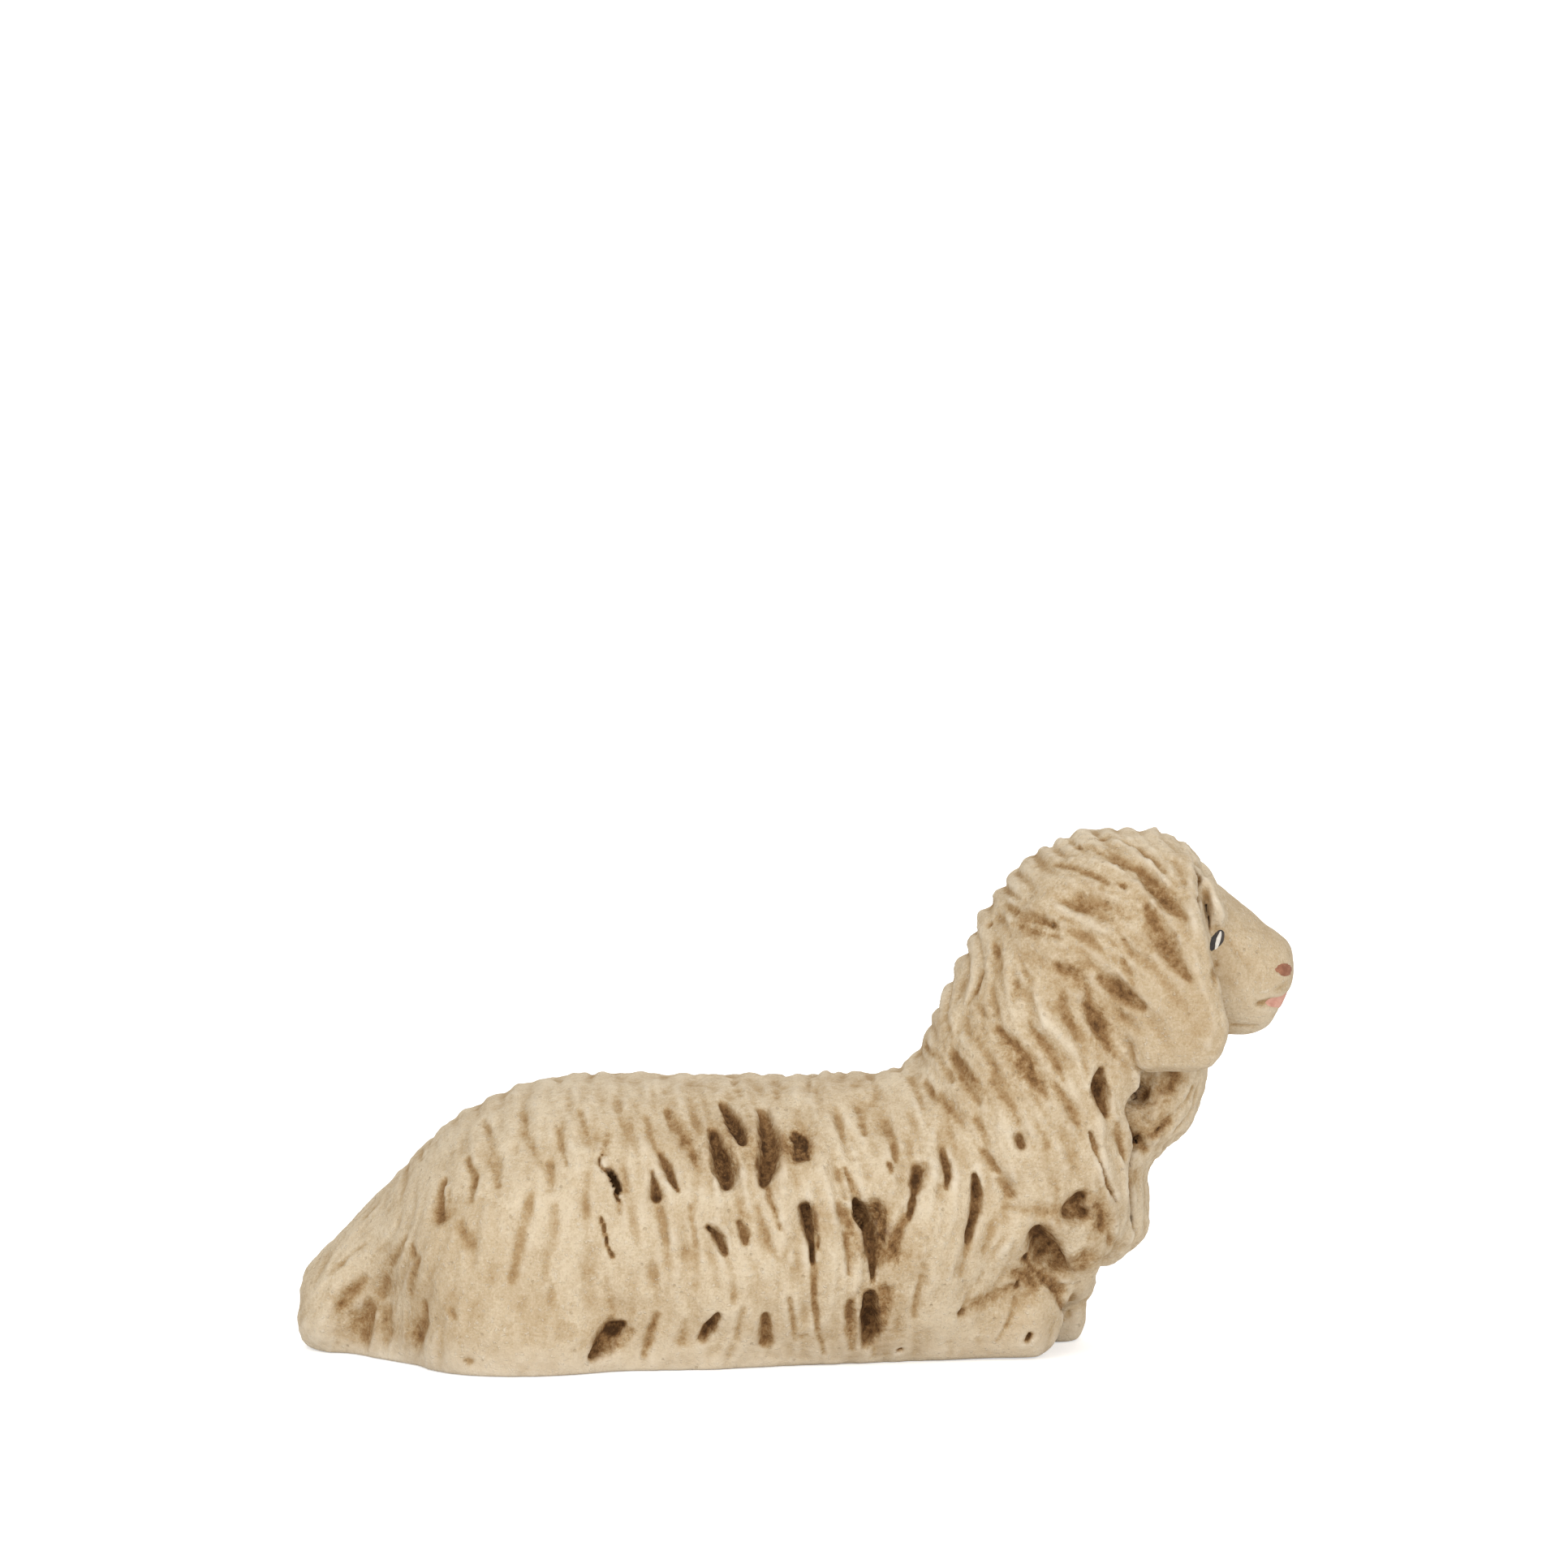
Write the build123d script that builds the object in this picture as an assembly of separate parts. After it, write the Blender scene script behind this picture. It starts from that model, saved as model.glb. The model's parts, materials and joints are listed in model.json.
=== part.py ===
from build123d import *
import math
import os

# Moulded clay sheep, lying with its head up, for a table scene.
#
# The sheep faces +X, +Z is up and its left side is +Y. It rests on the plane z = 0, and the
# origin is the middle of its length and width on that plane. Sizes are in millimetres.
#
# The trunk is the core lump. The neck leans on it and carries the hood of wool that makes
# the head. Face, legs, tail, ears, brows and breast fleece are smaller lumps pressed on.
# Each lump is cut by the ones that it is pressed against, so they meet face to face. The
# eyes, nostrils and mouth are thin coats of paint. Furrows part the wool into locks.

# Trunk, from the rump wall to where the forelegs fold under the breast
TRUNK_LENGTH = 52.0
TRUNK_WIDTH = 27.0
TRUNK_HEIGHT = 22.0
# Each row: place along the trunk, full width, height, width at the ground
TRUNK_SHARES = [
    (0.00, 0.24, 0.36, 0.20),
    (0.06, 0.46, 0.56, 0.42),
    (0.12, 0.68, 0.73, 0.62),
    (0.20, 0.89, 0.87, 0.80),
    (0.34, 0.99, 0.98, 0.86),
    (0.52, 1.00, 1.00, 0.86),
    (0.69, 0.97, 0.995, 0.68),
    (0.85, 0.90, 0.99, 0.54),
    (0.94, 0.80, 0.88, 0.46),
    (1.00, 0.60, 0.64, 0.32),
]
# Flank of a section from the girth up. Each row: half width, height
FLANK_SHARES = [(1.00, 0.40), (0.93, 0.67), (0.70, 0.87), (0.37, 0.97)]
SPLAY_SHARE = 0.20  # how far a section leans out at the ground
SOLE_TRIM = 0.4  # how deep the sections start, so that one cut makes the sole flat

# Neck, a leaning column on the front of the trunk
NECK_SET_BACK = 2.0  # from the front of the trunk back to the middle of the neck's root
NECK_ROOT_HEIGHT = 9.5
NECK_REACH = 11.3
NECK_RISE = 24.8
NECK_DEPTH = 27.0
NECK_WIDTH = 21.0
NECK_DROOP = 25.0  # degrees that the neck's middle section falls forward
# Each row: reach, rise, depth, width, and the section's droop in degrees
NECK_SHARES = [
    (-0.08, -0.13, 0.45, 0.44, 18),
    (-0.03, -0.06, 0.84, 0.82, 20),
    (0.10, 0.07, 0.97, 1.00, 23),
    (0.37, 0.28, 0.86, 0.98, 25),
    (0.63, 0.54, 0.78, 0.90, 28),
    (0.83, 0.82, 0.69, 0.82, 30),
    (0.97, 0.98, 0.53, 0.62, 31),
]
# The wool of the shoulders ends in an edge beside the breast. Each row: place ahead of the
# trunk over the neck's depth, height over the neck's rise
SHOULDER_EDGE_SHARES = [
    (0.24, 0.00),
    (0.33, 0.32),
    (0.41, 0.42),
    (0.40, 0.56),
    (0.42, 0.73),
    (0.41, 0.85),
    (0.45, 0.95),
    (0.58, 1.02),
    (0.90, 1.10),
]

# Hood of wool round the skull, from the nape to the rim that frames the face
HOOD_LENGTH = 17.2
HOOD_WIDTH = 17.2
HOOD_HEIGHT = 16.2
HOOD_BACK = 9.5  # nape behind the top of the neck
# Each row: along, width, height, lift of the middle as a share of the height
HOOD_SHARES = [
    (0.00, 0.22, 0.20, -0.08),
    (0.10, 0.52, 0.53, -0.055),
    (0.28, 0.82, 0.83, -0.035),
    (0.51, 0.99, 0.99, -0.037),
    (0.74, 1.00, 0.98, -0.043),
    (0.90, 0.94, 0.89, -0.08),
    (0.97, 0.84, 0.77, -0.115),
    (1.00, 0.66, 0.58, -0.14),
]

# Face, from inside the hood to the tip of the muzzle
FACE_ROOT = 4.0  # from the hood's rim back to the root of the face
FACE_LENGTH = 11.0
FACE_HEIGHT = 13.8
FACE_WIDTH = 11.8
FACE_DROOP = 2.35  # from the middle of the root to the middle of the muzzle
FACE_DROP = 1.8  # middle of the root below the middle of the hood
# Each row: along, height, width, droop
FACE_SHARES = [
    (0.00, 0.91, 1.00, 0.00),
    (0.30, 1.00, 0.98, 0.17),
    (0.51, 0.89, 0.86, 0.53),
    (0.70, 0.74, 0.74, 0.85),
    (0.86, 0.57, 0.62, 1.00),
    (0.955, 0.28, 0.40, 0.96),
    (1.00, 0.07, 0.12, 0.98),
]

# Ears, lobes that hang over the sides of the hood
EAR_LENGTH = 14.6
EAR_BREADTH = 10.0
EAR_THICKNESS = 2.8
EAR_STAND_OUT = 0.1  # middle of the ear outside the widest part of the hood
EAR_SPREAD = HOOD_WIDTH / 2 + EAR_STAND_OUT
EAR_ROOT_BACK = 7.5  # root behind the hood's rim
EAR_ROOT_LIFT = 4.5  # root over the middle of the hood
EAR_SWING = 4.3  # tip ahead of the root
# Each row: along, breadth, thickness, spread, swing
EAR_SHARES = [
    (0.00, 0.14, 0.25, 0.84, 0.00),
    (0.06, 0.38, 0.60, 0.88, 0.00),
    (0.20, 0.56, 0.85, 0.94, 0.02),
    (0.40, 0.70, 1.00, 1.00, 0.23),
    (0.60, 1.00, 1.00, 1.00, 0.74),
    (0.77, 1.00, 1.00, 1.00, 0.95),
    (0.92, 0.76, 0.86, 0.99, 1.00),
    (0.985, 0.46, 0.56, 0.98, 1.04),
    (1.00, 0.20, 0.25, 0.98, 1.05),
]

# Brows, tufts that overhang the eyes
BROW_LENGTH = 5.2
BROW_BREADTH = 3.2
BROW_DEPTH = 3.4
BROW_LEAN = -22.0  # degrees, the top back
BROW_RIM_GAP = 0.5  # ahead of the hood's rim
BROW_LIFT = 2.4  # over the middle of the hood
BROW_SPREAD = 4.6
# Each row: place along the tuft from its middle, breadth and depth
BROW_SHARES = [
    (-0.50, 0.30),
    (-0.34, 0.76),
    (-0.04, 1.00),
    (0.28, 0.86),
    (0.50, 0.34),
]

# Breast fleece, the bib under the throat
BIB_WIDTH = 12.5
BIB_DEPTH = 8.0
BIB_TOP_DROP = 8.3  # top below the middle of the hood
BIB_LENGTH = 19.0
BIB_TOP_BACK = 2.6  # middle of the top behind the hood's rim
BIB_SWEEP = 6.4  # foot behind the top
# Each row: along, width, depth, sweep
BIB_SHARES = [
    (0.00, 0.66, 0.62, 0.08),
    (0.12, 0.92, 0.80, 0.06),
    (0.28, 1.00, 0.86, 0.24),
    (0.50, 0.92, 0.88, 0.62),
    (0.68, 0.88, 0.84, 0.80),
    (0.88, 0.76, 0.86, 0.90),
    (1.00, 0.40, 0.40, 1.00),
]

# Forelegs, folded under the breast
FORELEG_LENGTH = 13.5
FORELEG_WIDTH = 7.4
FORELEG_HEIGHT = 8.8
FORELEG_SPREAD = 4.1
FORELEG_LEAD = 5.4  # right knee ahead of the front of the trunk
LEFT_KNEE_LEAD = 1.8  # left knee ahead of the right one
# Each row: along, width, height, lift of the middle
FORELEG_SHARES = [
    (0.00, 0.42, 0.42, 0.18),
    (0.22, 0.66, 0.62, 0.26),
    (0.48, 0.90, 0.84, 0.36),
    (0.74, 1.00, 1.00, 0.41),
    (0.92, 0.84, 0.80, 0.38),
    (1.00, 0.44, 0.42, 0.34),
]

# Hind legs, a thigh on a folded shank
THIGH_LENGTH = 15.4
THIGH_WIDTH = 12.4
THIGH_HEIGHT = 18.0
THIGH_PLACE = 13.5  # ahead of the rump wall
THIGH_SPREAD = 8.2
THIGH_LIFT = 6.6
SHANK_LENGTH = 13.6
SHANK_WIDTH = 8.4
SHANK_HEIGHT = 8.0
SHANK_LEAD = 1.0  # ahead of the thigh
SHANK_SPREAD = 10.8
SHANK_LIFT = 2.4

# Tail, a band of wool from the rump down to the ground
TAIL_REACH = 6.9  # root to tip, backwards
TAIL_ROOT_AHEAD = 5.8  # root ahead of the rump wall
TAIL_ROOT_LIFT = 11.2
TAIL_WIDTH = 9.4
TAIL_THICKNESS = 6.4
# Each row: reach, drop from the root, width, thickness, and the section's droop in degrees
TAIL_SHARES = [
    (0.00, 0.00, 0.84, 0.80, 45),
    (0.45, 0.27, 1.00, 0.98, 45),
    (0.81, 0.54, 0.98, 1.00, 38),
    (0.97, 0.77, 0.90, 0.96, 16),
    (1.00, 1.02, 0.74, 0.66, 0),
]

# Coats of paint, each a flat oval that stands a little proud of the clay
PAINT_PROUD = 0.12
PAINT_SUNK = 0.30  # how far an oval's foot lies under the clay, which is cut away
EYE_LENGTH = 2.3
EYE_BREADTH = 1.2
EYE_SLANT = 50.0  # degrees
EYE_RIM_GAP = 1.1  # ahead of the hood's rim
EYE_DROP = 0.5  # below the middle of the hood
GLINT_LENGTH = 1.0
GLINT_BREADTH = 0.4
GLINT_SLANT = 66.0
GLINT_LEAD = 0.2  # ahead of the middle of the eye
NOSTRIL_LENGTH = 1.5
NOSTRIL_BREADTH = 0.9
NOSTRIL_SLANT = 35.0
NOSTRIL_BACK = 0.8  # behind the tip of the muzzle
NOSTRIL_LIFT = 0.6  # over the middle of the muzzle
LIP_PROUD = 0.25
LIP_REACH = 3.0  # back from the tip of the muzzle
LIP_WIDTH = 6.4
LIP_HEIGHT = 1.4
LIP_DROP = 1.8  # below the middle of the muzzle

# Furrows that part the fleece into locks. Each is a tapering gouge with flat sides.
FURROW_LENGTH = 13.0
FURROW_WIDTH = 3.4
FURROW_DEPTH = 1.5
FURROW_RISE = 0.8  # the gouge's rim over the wool, so that its ends run out on a round flank
# Half outline of a gouge's rim: place along it from its middle, half width
FURROW_OUTLINE_SHARES = [(-0.50, 0.0), (-0.16, 0.50), (0.20, 0.42), (0.50, 0.0)]

# Each row: place along the trunk, height, then length, width, depth, and slant in degrees
TRUNK_FURROW_SHARES = [
    (0.14, 0.61, 0.60, 0.45, 0.5, 96),
    (0.20, 0.72, 0.75, 0.55, 0.6, 104),
    (0.26, 0.84, 0.60, 0.50, 0.5, 112),
    (0.33, 0.72, 0.95, 0.42, 0.4, 98),
    (0.37, 0.88, 0.60, 0.45, 0.5, 112),
    (0.41, 0.74, 0.62, 0.85, 1.1, 104),
    (0.42, 0.46, 0.80, 0.40, 0.4, 92),
    (0.48, 0.66, 0.50, 0.55, 0.8, 95),
    (0.50, 0.84, 0.60, 0.55, 0.6, 108),
    (0.53, 0.52, 0.75, 0.45, 0.5, 96),
    (0.585, 0.76, 0.90, 1.00, 1.3, 100),
    (0.58, 0.48, 0.50, 0.70, 0.9, 104),
    (0.63, 0.60, 0.60, 0.50, 0.6, 98),
    (0.65, 0.80, 1.00, 0.95, 1.3, 98),
    (0.705, 0.84, 0.60, 0.90, 0.9, 92),
    (0.71, 0.48, 0.90, 0.90, 1.3, 96),
    (0.77, 0.52, 0.90, 0.65, 0.8, 94),
    (0.81, 0.50, 1.10, 1.45, 1.7, 98),
    (0.81, 0.20, 0.75, 1.20, 1.4, 92),
    (0.76, 0.80, 0.85, 0.55, 0.6, 82),
    (0.865, 0.72, 0.75, 0.80, 0.9, 78),
    (0.955, 0.62, 0.60, 0.60, 0.8, 88),
    (0.41, 0.16, 0.55, 1.10, 1.2, 62),
    (0.47, 0.15, 0.40, 0.50, 0.6, 80),
    (0.56, 0.16, 0.45, 0.70, 0.9, 74),
    (0.66, 0.17, 0.50, 0.65, 0.8, 92),
]
# Each row: place up the neck, place across it from its middle, then as above
NECK_FURROW_SHARES = [
    (0.07, 0.23, 0.75, 2.00, 1.9, 128),
    (0.36, 0.00, 0.50, 0.60, 0.9, 108),
    (0.27, 0.15, 0.80, 0.60, 0.7, 112),
    (0.29, 0.26, 0.50, 0.90, 1.0, 118),
    (0.47, 0.27, 0.80, 0.65, 0.8, 106),
    (0.62, 0.14, 0.62, 0.75, 0.9, 116),
    (0.55, 0.05, 0.75, 0.55, 0.7, 120),
    (0.42, -0.12, 0.80, 0.55, 0.6, 116),
    (0.50, -0.24, 0.75, 0.50, 0.6, 122),
    (0.60, -0.12, 0.80, 0.60, 0.7, 124),
    (0.68, -0.24, 0.65, 0.50, 0.6, 128),
    (0.74, -0.06, 0.70, 0.60, 0.7, 128),
    (0.82, -0.20, 0.60, 0.50, 0.6, 132),
]
# Each row: place along the hood, lift over its middle, then as above
HOOD_FURROW_SHARES = [
    (0.24, 0.06, 0.62, 0.50, 0.5, 142),
    (0.34, 0.22, 0.70, 0.55, 0.6, 150),
    (0.56, 0.36, 0.80, 0.60, 0.6, 150),
    (0.76, 0.33, 0.70, 0.55, 0.6, 134),
]
# Scallops across the spine of the trunk, and up the back of the neck
SCALLOP_STEP = 2.4
SCALLOP_LENGTH = 11.0
SCALLOP_WIDTH = 2.4
SCALLOP_DEPTH = 0.6
SCALLOP_RISE = 1.3
SPINE_START = 8.5  # first scallop ahead of the rump wall
SPINE_END = 10.0  # last scallop behind the front of the trunk
NAPE_START = 13.0  # first scallop on the back of the neck over its root
NAPE_END = 26.0

WORK_SPAN = 200.0  # larger than the sheep, for what is cut off and where rays start
OUT = "parts"

trunk_rear = -TRUNK_LENGTH / 2
trunk_front = TRUNK_LENGTH / 2
neck_root = trunk_front - NECK_SET_BACK
hood_nape = neck_root + NECK_REACH - HOOD_BACK
hood_rim = hood_nape + HOOD_LENGTH
hood_middle = NECK_ROOT_HEIGHT + NECK_RISE
face_root = hood_rim - FACE_ROOT
muzzle_tip = face_root + FACE_LENGTH
muzzle_middle = hood_middle - FACE_DROP - FACE_DROOP


def oval(x, z, depth, width, droop):
    """An elliptical section whose depth runs forward and falls by droop degrees."""
    fall = math.radians(droop)
    plane = Plane(
        origin=(x, 0, z),
        x_dir=(math.cos(fall), 0, -math.sin(fall)),
        z_dir=(math.sin(fall), 0, math.cos(fall)),
    )
    return plane * Ellipse(depth / 2, width / 2)


def upright_oval(x, y, z, width, height):
    """An elliptical section that stands across the X axis."""
    plane = Plane(origin=(x, y, z), x_dir=(0, 1, 0), z_dir=(1, 0, 0))
    return plane * Ellipse(width / 2, height / 2)


def level_oval(x, y, z, depth, width):
    """A level elliptical section."""
    return Pos(x, y, z) * Ellipse(depth / 2, width / 2)


def egg(length, width, height):
    """A rounded lump of those full sizes about the origin."""
    return scale(Sphere(1), by=(length / 2, width / 2, height / 2))


def main_solid(shape):
    """The largest solid: a cut can leave a crumb on the far side of a larger lump."""
    return shape.solids().sort_by(SortBy.VOLUME)[-1]


def pressed_on(lump, neighbours):
    """A lump without what it is pressed against, so that they meet face to face."""
    for other in neighbours:
        lump = main_solid(lump - other)
    return lump


def other_side(lump):
    """The left one of a pair, from the right one."""
    return main_solid(mirror(lump, Plane.XZ))


def above_ground(lump):
    """A lump cut flat where it rests."""
    earth = Pos(0, 0, -WORK_SPAN / 2) * Box(WORK_SPAN, WORK_SPAN, WORK_SPAN)
    return main_solid(lump - earth)


def arch(x, width, height, base):
    """A barrel section across the X axis, that starts a little under the ground."""
    half = width / 2
    foot = base / 2
    flank = [(out * half, up * height) for out, up in FLANK_SHARES]
    girth = flank[0][1]
    splay = half - foot + SPLAY_SHARE * half
    left = Spline([(foot, 0), *flank, (0, height)], tangents=[(splay, girth), (-half, 0)])
    sole = Line((-foot, 0), (foot, 0))
    plane = Plane(origin=(x, 0, -SOLE_TRIM), x_dir=(0, 1, 0), z_dir=(1, 0, 0))
    return plane * make_face([sole, left, mirror(left, Plane.YZ)])


def make_trunk():
    sections = []
    for at, wide, high, base in TRUNK_SHARES:
        x = trunk_rear + at * TRUNK_LENGTH
        height = high * TRUNK_HEIGHT + SOLE_TRIM
        sections.append(arch(x, wide * TRUNK_WIDTH, height, base * TRUNK_WIDTH))
    return above_ground(loft(sections))


def make_neck():
    sections = []
    for reach, rise, deep, wide, droop in NECK_SHARES:
        x = neck_root + reach * NECK_REACH
        z = NECK_ROOT_HEIGHT + rise * NECK_RISE
        sections.append(oval(x, z, deep * NECK_DEPTH, wide * NECK_WIDTH, droop))
    return main_solid(loft(sections) - before_shoulder_edge())


def before_shoulder_edge():
    """The space in front of the edge of the shoulders, right across the sheep."""
    edge = []
    for ahead, rise in SHOULDER_EDGE_SHARES:
        edge.append((trunk_front + ahead * NECK_DEPTH, rise * NECK_RISE))
    far = [(WORK_SPAN, edge[-1][1]), (WORK_SPAN, -WORK_SPAN), (edge[0][0], -WORK_SPAN)]
    outline = make_face([Spline(edge), Polyline(edge[-1], *far, edge[0])])
    return extrude(Plane.XZ * outline, WORK_SPAN / 2, both=True)


def make_hood():
    sections = []
    for at, wide, high, lift in HOOD_SHARES:
        x = hood_nape + at * HOOD_LENGTH
        z = hood_middle + lift * HOOD_HEIGHT
        sections.append(upright_oval(x, 0, z, wide * HOOD_WIDTH, high * HOOD_HEIGHT))
    return loft(sections)


def make_face_lump():
    sections = []
    for at, high, wide, droop in FACE_SHARES:
        x = face_root + at * FACE_LENGTH
        z = hood_middle - FACE_DROP - droop * FACE_DROOP
        sections.append(upright_oval(x, 0, z, wide * FACE_WIDTH, high * FACE_HEIGHT))
    return loft(sections)


def make_ear(side):
    sections = []
    for at, broad, thick, spread, swing in EAR_SHARES:
        x = hood_rim - EAR_ROOT_BACK + swing * EAR_SWING
        z = hood_middle + EAR_ROOT_LIFT - at * EAR_LENGTH
        y = side * spread * EAR_SPREAD
        sections.append(level_oval(x, y, z, broad * EAR_BREADTH, thick * EAR_THICKNESS))
    return loft(sections)


def make_brow(side):
    sections = []
    for at, swell in BROW_SHARES:
        sections.append(level_oval(0, 0, at * BROW_LENGTH, swell * BROW_BREADTH, swell * BROW_DEPTH))
    place = Pos(hood_rim + BROW_RIM_GAP, side * BROW_SPREAD, hood_middle + BROW_LIFT)
    return place * Rot(0, BROW_LEAN, 0) * loft(sections)


def make_breast_fleece():
    sections = []
    for at, wide, deep, sweep in BIB_SHARES:
        x = hood_rim - BIB_TOP_BACK - sweep * BIB_SWEEP
        z = hood_middle - BIB_TOP_DROP - at * BIB_LENGTH
        sections.append(level_oval(x, 0, z, deep * BIB_DEPTH, wide * BIB_WIDTH))
    return loft(sections)


def make_foreleg(side, lead):
    elbow = trunk_front + FORELEG_LEAD + lead - FORELEG_LENGTH
    sections = []
    for at, wide, high, lift in FORELEG_SHARES:
        x = elbow + at * FORELEG_LENGTH
        y = side * FORELEG_SPREAD
        z = lift * FORELEG_HEIGHT
        sections.append(upright_oval(x, y, z, wide * FORELEG_WIDTH, high * FORELEG_HEIGHT))
    return above_ground(loft(sections))


def make_hind_leg(side):
    place = trunk_rear + THIGH_PLACE
    thigh = egg(THIGH_LENGTH, THIGH_WIDTH, THIGH_HEIGHT)
    thigh = Pos(place, side * THIGH_SPREAD, THIGH_LIFT) * thigh
    shank = egg(SHANK_LENGTH, SHANK_WIDTH, SHANK_HEIGHT)
    shank = Pos(place + SHANK_LEAD, side * SHANK_SPREAD, SHANK_LIFT) * shank
    return above_ground(thigh + shank)


def make_tail():
    root = trunk_rear + TAIL_ROOT_AHEAD
    sections = []
    for reach, drop, wide, thick, droop in TAIL_SHARES:
        x = root - reach * TAIL_REACH
        z = TAIL_ROOT_LIFT * (1 - drop)
        sections.append(oval(x, z, thick * TAIL_THICKNESS, wide * TAIL_WIDTH, droop))
    return above_ground(loft(sections))


def touch(ground, start, heading):
    """The place where a line first meets a solid, and the way that its surface faces there."""
    return ground.find_intersection_points(Axis(start, heading))[0]


def lie_on(place, facing, run):
    """A plane on a surface, with its X along a heading."""
    return Plane(origin=place, x_dir=run - facing * run.dot(facing), z_dir=facing)


def slanted(degrees):
    """A heading in the plane of the spine, 0 forward and 90 up."""
    return Vector(math.cos(math.radians(degrees)), 0, math.sin(math.radians(degrees)))


def gouge(length, width, depth, rise):
    """A tapering gouge along X, from its rim over the origin to its deepest point under it."""
    left = [(at * length, half * width, rise) for at, half in FURROW_OUTLINE_SHARES]
    right = [(x, -y, z) for x, y, z in left[-2:0:-1]]
    rim = make_face(Polyline(*left, *right, close=True))
    return loft([rim, Vertex(0, 0, -depth)], ruled=True)


def furrow(ground, side, x, z, long, wide, deep, slant):
    """A furrow in a flank, where a level line from the side first meets it."""
    place, facing = touch(ground, (x, side * WORK_SPAN, z), (0, -side, 0))
    shape = gouge(long * FURROW_LENGTH, wide * FURROW_WIDTH, deep * FURROW_DEPTH, FURROW_RISE)
    return lie_on(place, facing, slanted(slant)) * shape


def scallop(ground, start, heading):
    """A shallow gouge across the spine, where a line meets it."""
    place, facing = touch(ground, start, heading)
    across = Vector(0, 1, 0)
    shape = gouge(SCALLOP_LENGTH, SCALLOP_WIDTH, SCALLOP_DEPTH, SCALLOP_RISE)
    return lie_on(place, facing, across) * shape


def trunk_furrows(trunk):
    """The furrows of both flanks, and the scallops of the back."""
    cutters = []
    for at, high, *size in TRUNK_FURROW_SHARES:
        for side in (-1, 1):
            x = trunk_rear + at * TRUNK_LENGTH
            cutters.append(furrow(trunk, side, x, high * TRUNK_HEIGHT, *size))
    count = int((TRUNK_LENGTH - SPINE_START - SPINE_END) / SCALLOP_STEP)
    for number in range(count + 1):
        x = trunk_rear + SPINE_START + number * SCALLOP_STEP
        cutters.append(scallop(trunk, (x, 0, WORK_SPAN), (0, 0, -1)))
    return cutters


def neck_furrows(neck):
    """The furrows of both sides of the neck, and the scallops of the nape."""
    cutters = []
    along = slanted(-NECK_DROOP)
    for up, across, *size in NECK_FURROW_SHARES:
        for side in (-1, 1):
            x = neck_root + up * NECK_REACH + across * NECK_DEPTH * along.X
            z = NECK_ROOT_HEIGHT + up * NECK_RISE + across * NECK_DEPTH * along.Z
            cutters.append(furrow(neck, side, x, z, *size))
    count = int((NAPE_END - NAPE_START) / SCALLOP_STEP)
    for number in range(count + 1):
        z = NECK_ROOT_HEIGHT + NAPE_START + number * SCALLOP_STEP
        cutters.append(scallop(neck, (-WORK_SPAN, 0, z), (1, 0, 0)))
    return cutters


def hood_furrows(hood):
    cutters = []
    for at, lift, *size in HOOD_FURROW_SHARES:
        for side in (-1, 1):
            x = hood_nape + at * HOOD_LENGTH
            cutters.append(furrow(hood, side, x, hood_middle + lift * HOOD_HEIGHT, *size))
    return cutters


def paint_spot(face, x, z, length, breadth, slant):
    """A coat of paint on the right of the face, as a flat oval with its foot under the surface."""
    place, facing = touch(face, (x, -WORK_SPAN, z), (0, 1, 0))
    oval_face = Pos(0, 0, -PAINT_SUNK) * Ellipse(length / 2, breadth / 2)
    return lie_on(place, facing, slanted(slant)) * extrude(oval_face, PAINT_SUNK + PAINT_PROUD)


def make_lips(face):
    """A coat of paint round the front of the mouth, with the muzzle's own curve."""
    skin = Pos(LIP_PROUD, 0, 0) * make_face_lump()
    band = Pos(muzzle_tip, 0, muzzle_middle - LIP_DROP) * egg(LIP_REACH * 2, LIP_WIDTH, LIP_HEIGHT)
    return main_solid((skin & band) - face)


def make_clay():
    """The lumps by name, in the frame of the trunk, before the wool is furrowed."""
    clay = {"trunk": make_trunk(), "poll_fleece": make_hood()}
    for name, side, lead in (("right", -1, 0), ("left", 1, LEFT_KNEE_LEAD)):
        clay[f"{name}_foreleg"] = pressed_on(make_foreleg(side, lead), [clay["trunk"]])
    clay["neck"] = pressed_on(make_neck(), list(clay.values()))
    core = [clay["trunk"], clay["poll_fleece"], clay["neck"]]
    clay["head"] = pressed_on(make_face_lump(), core)
    clay["breast_fleece"] = pressed_on(make_breast_fleece(), core + [clay["head"]])
    clay["tail"] = pressed_on(make_tail(), core)
    front = core + [clay["head"], clay["breast_fleece"]]
    clay["right_ear"] = pressed_on(make_ear(-1), front)
    clay["right_brow"] = pressed_on(make_brow(-1), front)
    clay["right_hind_leg"] = pressed_on(make_hind_leg(-1), [clay["trunk"], clay["tail"]])
    for name in ("ear", "brow", "hind_leg"):
        clay[f"left_{name}"] = other_side(clay[f"right_{name}"])
    return clay


def make_paint(face, brow):
    """The coats of paint by name, on the finished face. The brow hides the top of the eye."""
    eye_x = hood_rim + EYE_RIM_GAP
    eye_z = hood_middle - EYE_DROP
    eye = paint_spot(face, eye_x, eye_z, EYE_LENGTH, EYE_BREADTH, EYE_SLANT)
    glint = paint_spot(eye, eye_x + GLINT_LEAD, eye_z, GLINT_LENGTH, GLINT_BREADTH, GLINT_SLANT)
    x = muzzle_tip - NOSTRIL_BACK
    z = muzzle_middle + NOSTRIL_LIFT
    nostril = paint_spot(face, x, z, NOSTRIL_LENGTH, NOSTRIL_BREADTH, NOSTRIL_SLANT)
    paint = {
        "right_eye": pressed_on(eye, [face, brow]),
        "right_eye_glint": pressed_on(glint, [face, eye, brow]),
        "right_nostril": pressed_on(nostril, [face]),
    }
    for name in ("eye", "eye_glint", "nostril"):
        paint[f"left_{name}"] = other_side(paint[f"right_{name}"])
    paint["mouth"] = make_lips(face)
    return paint


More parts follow.
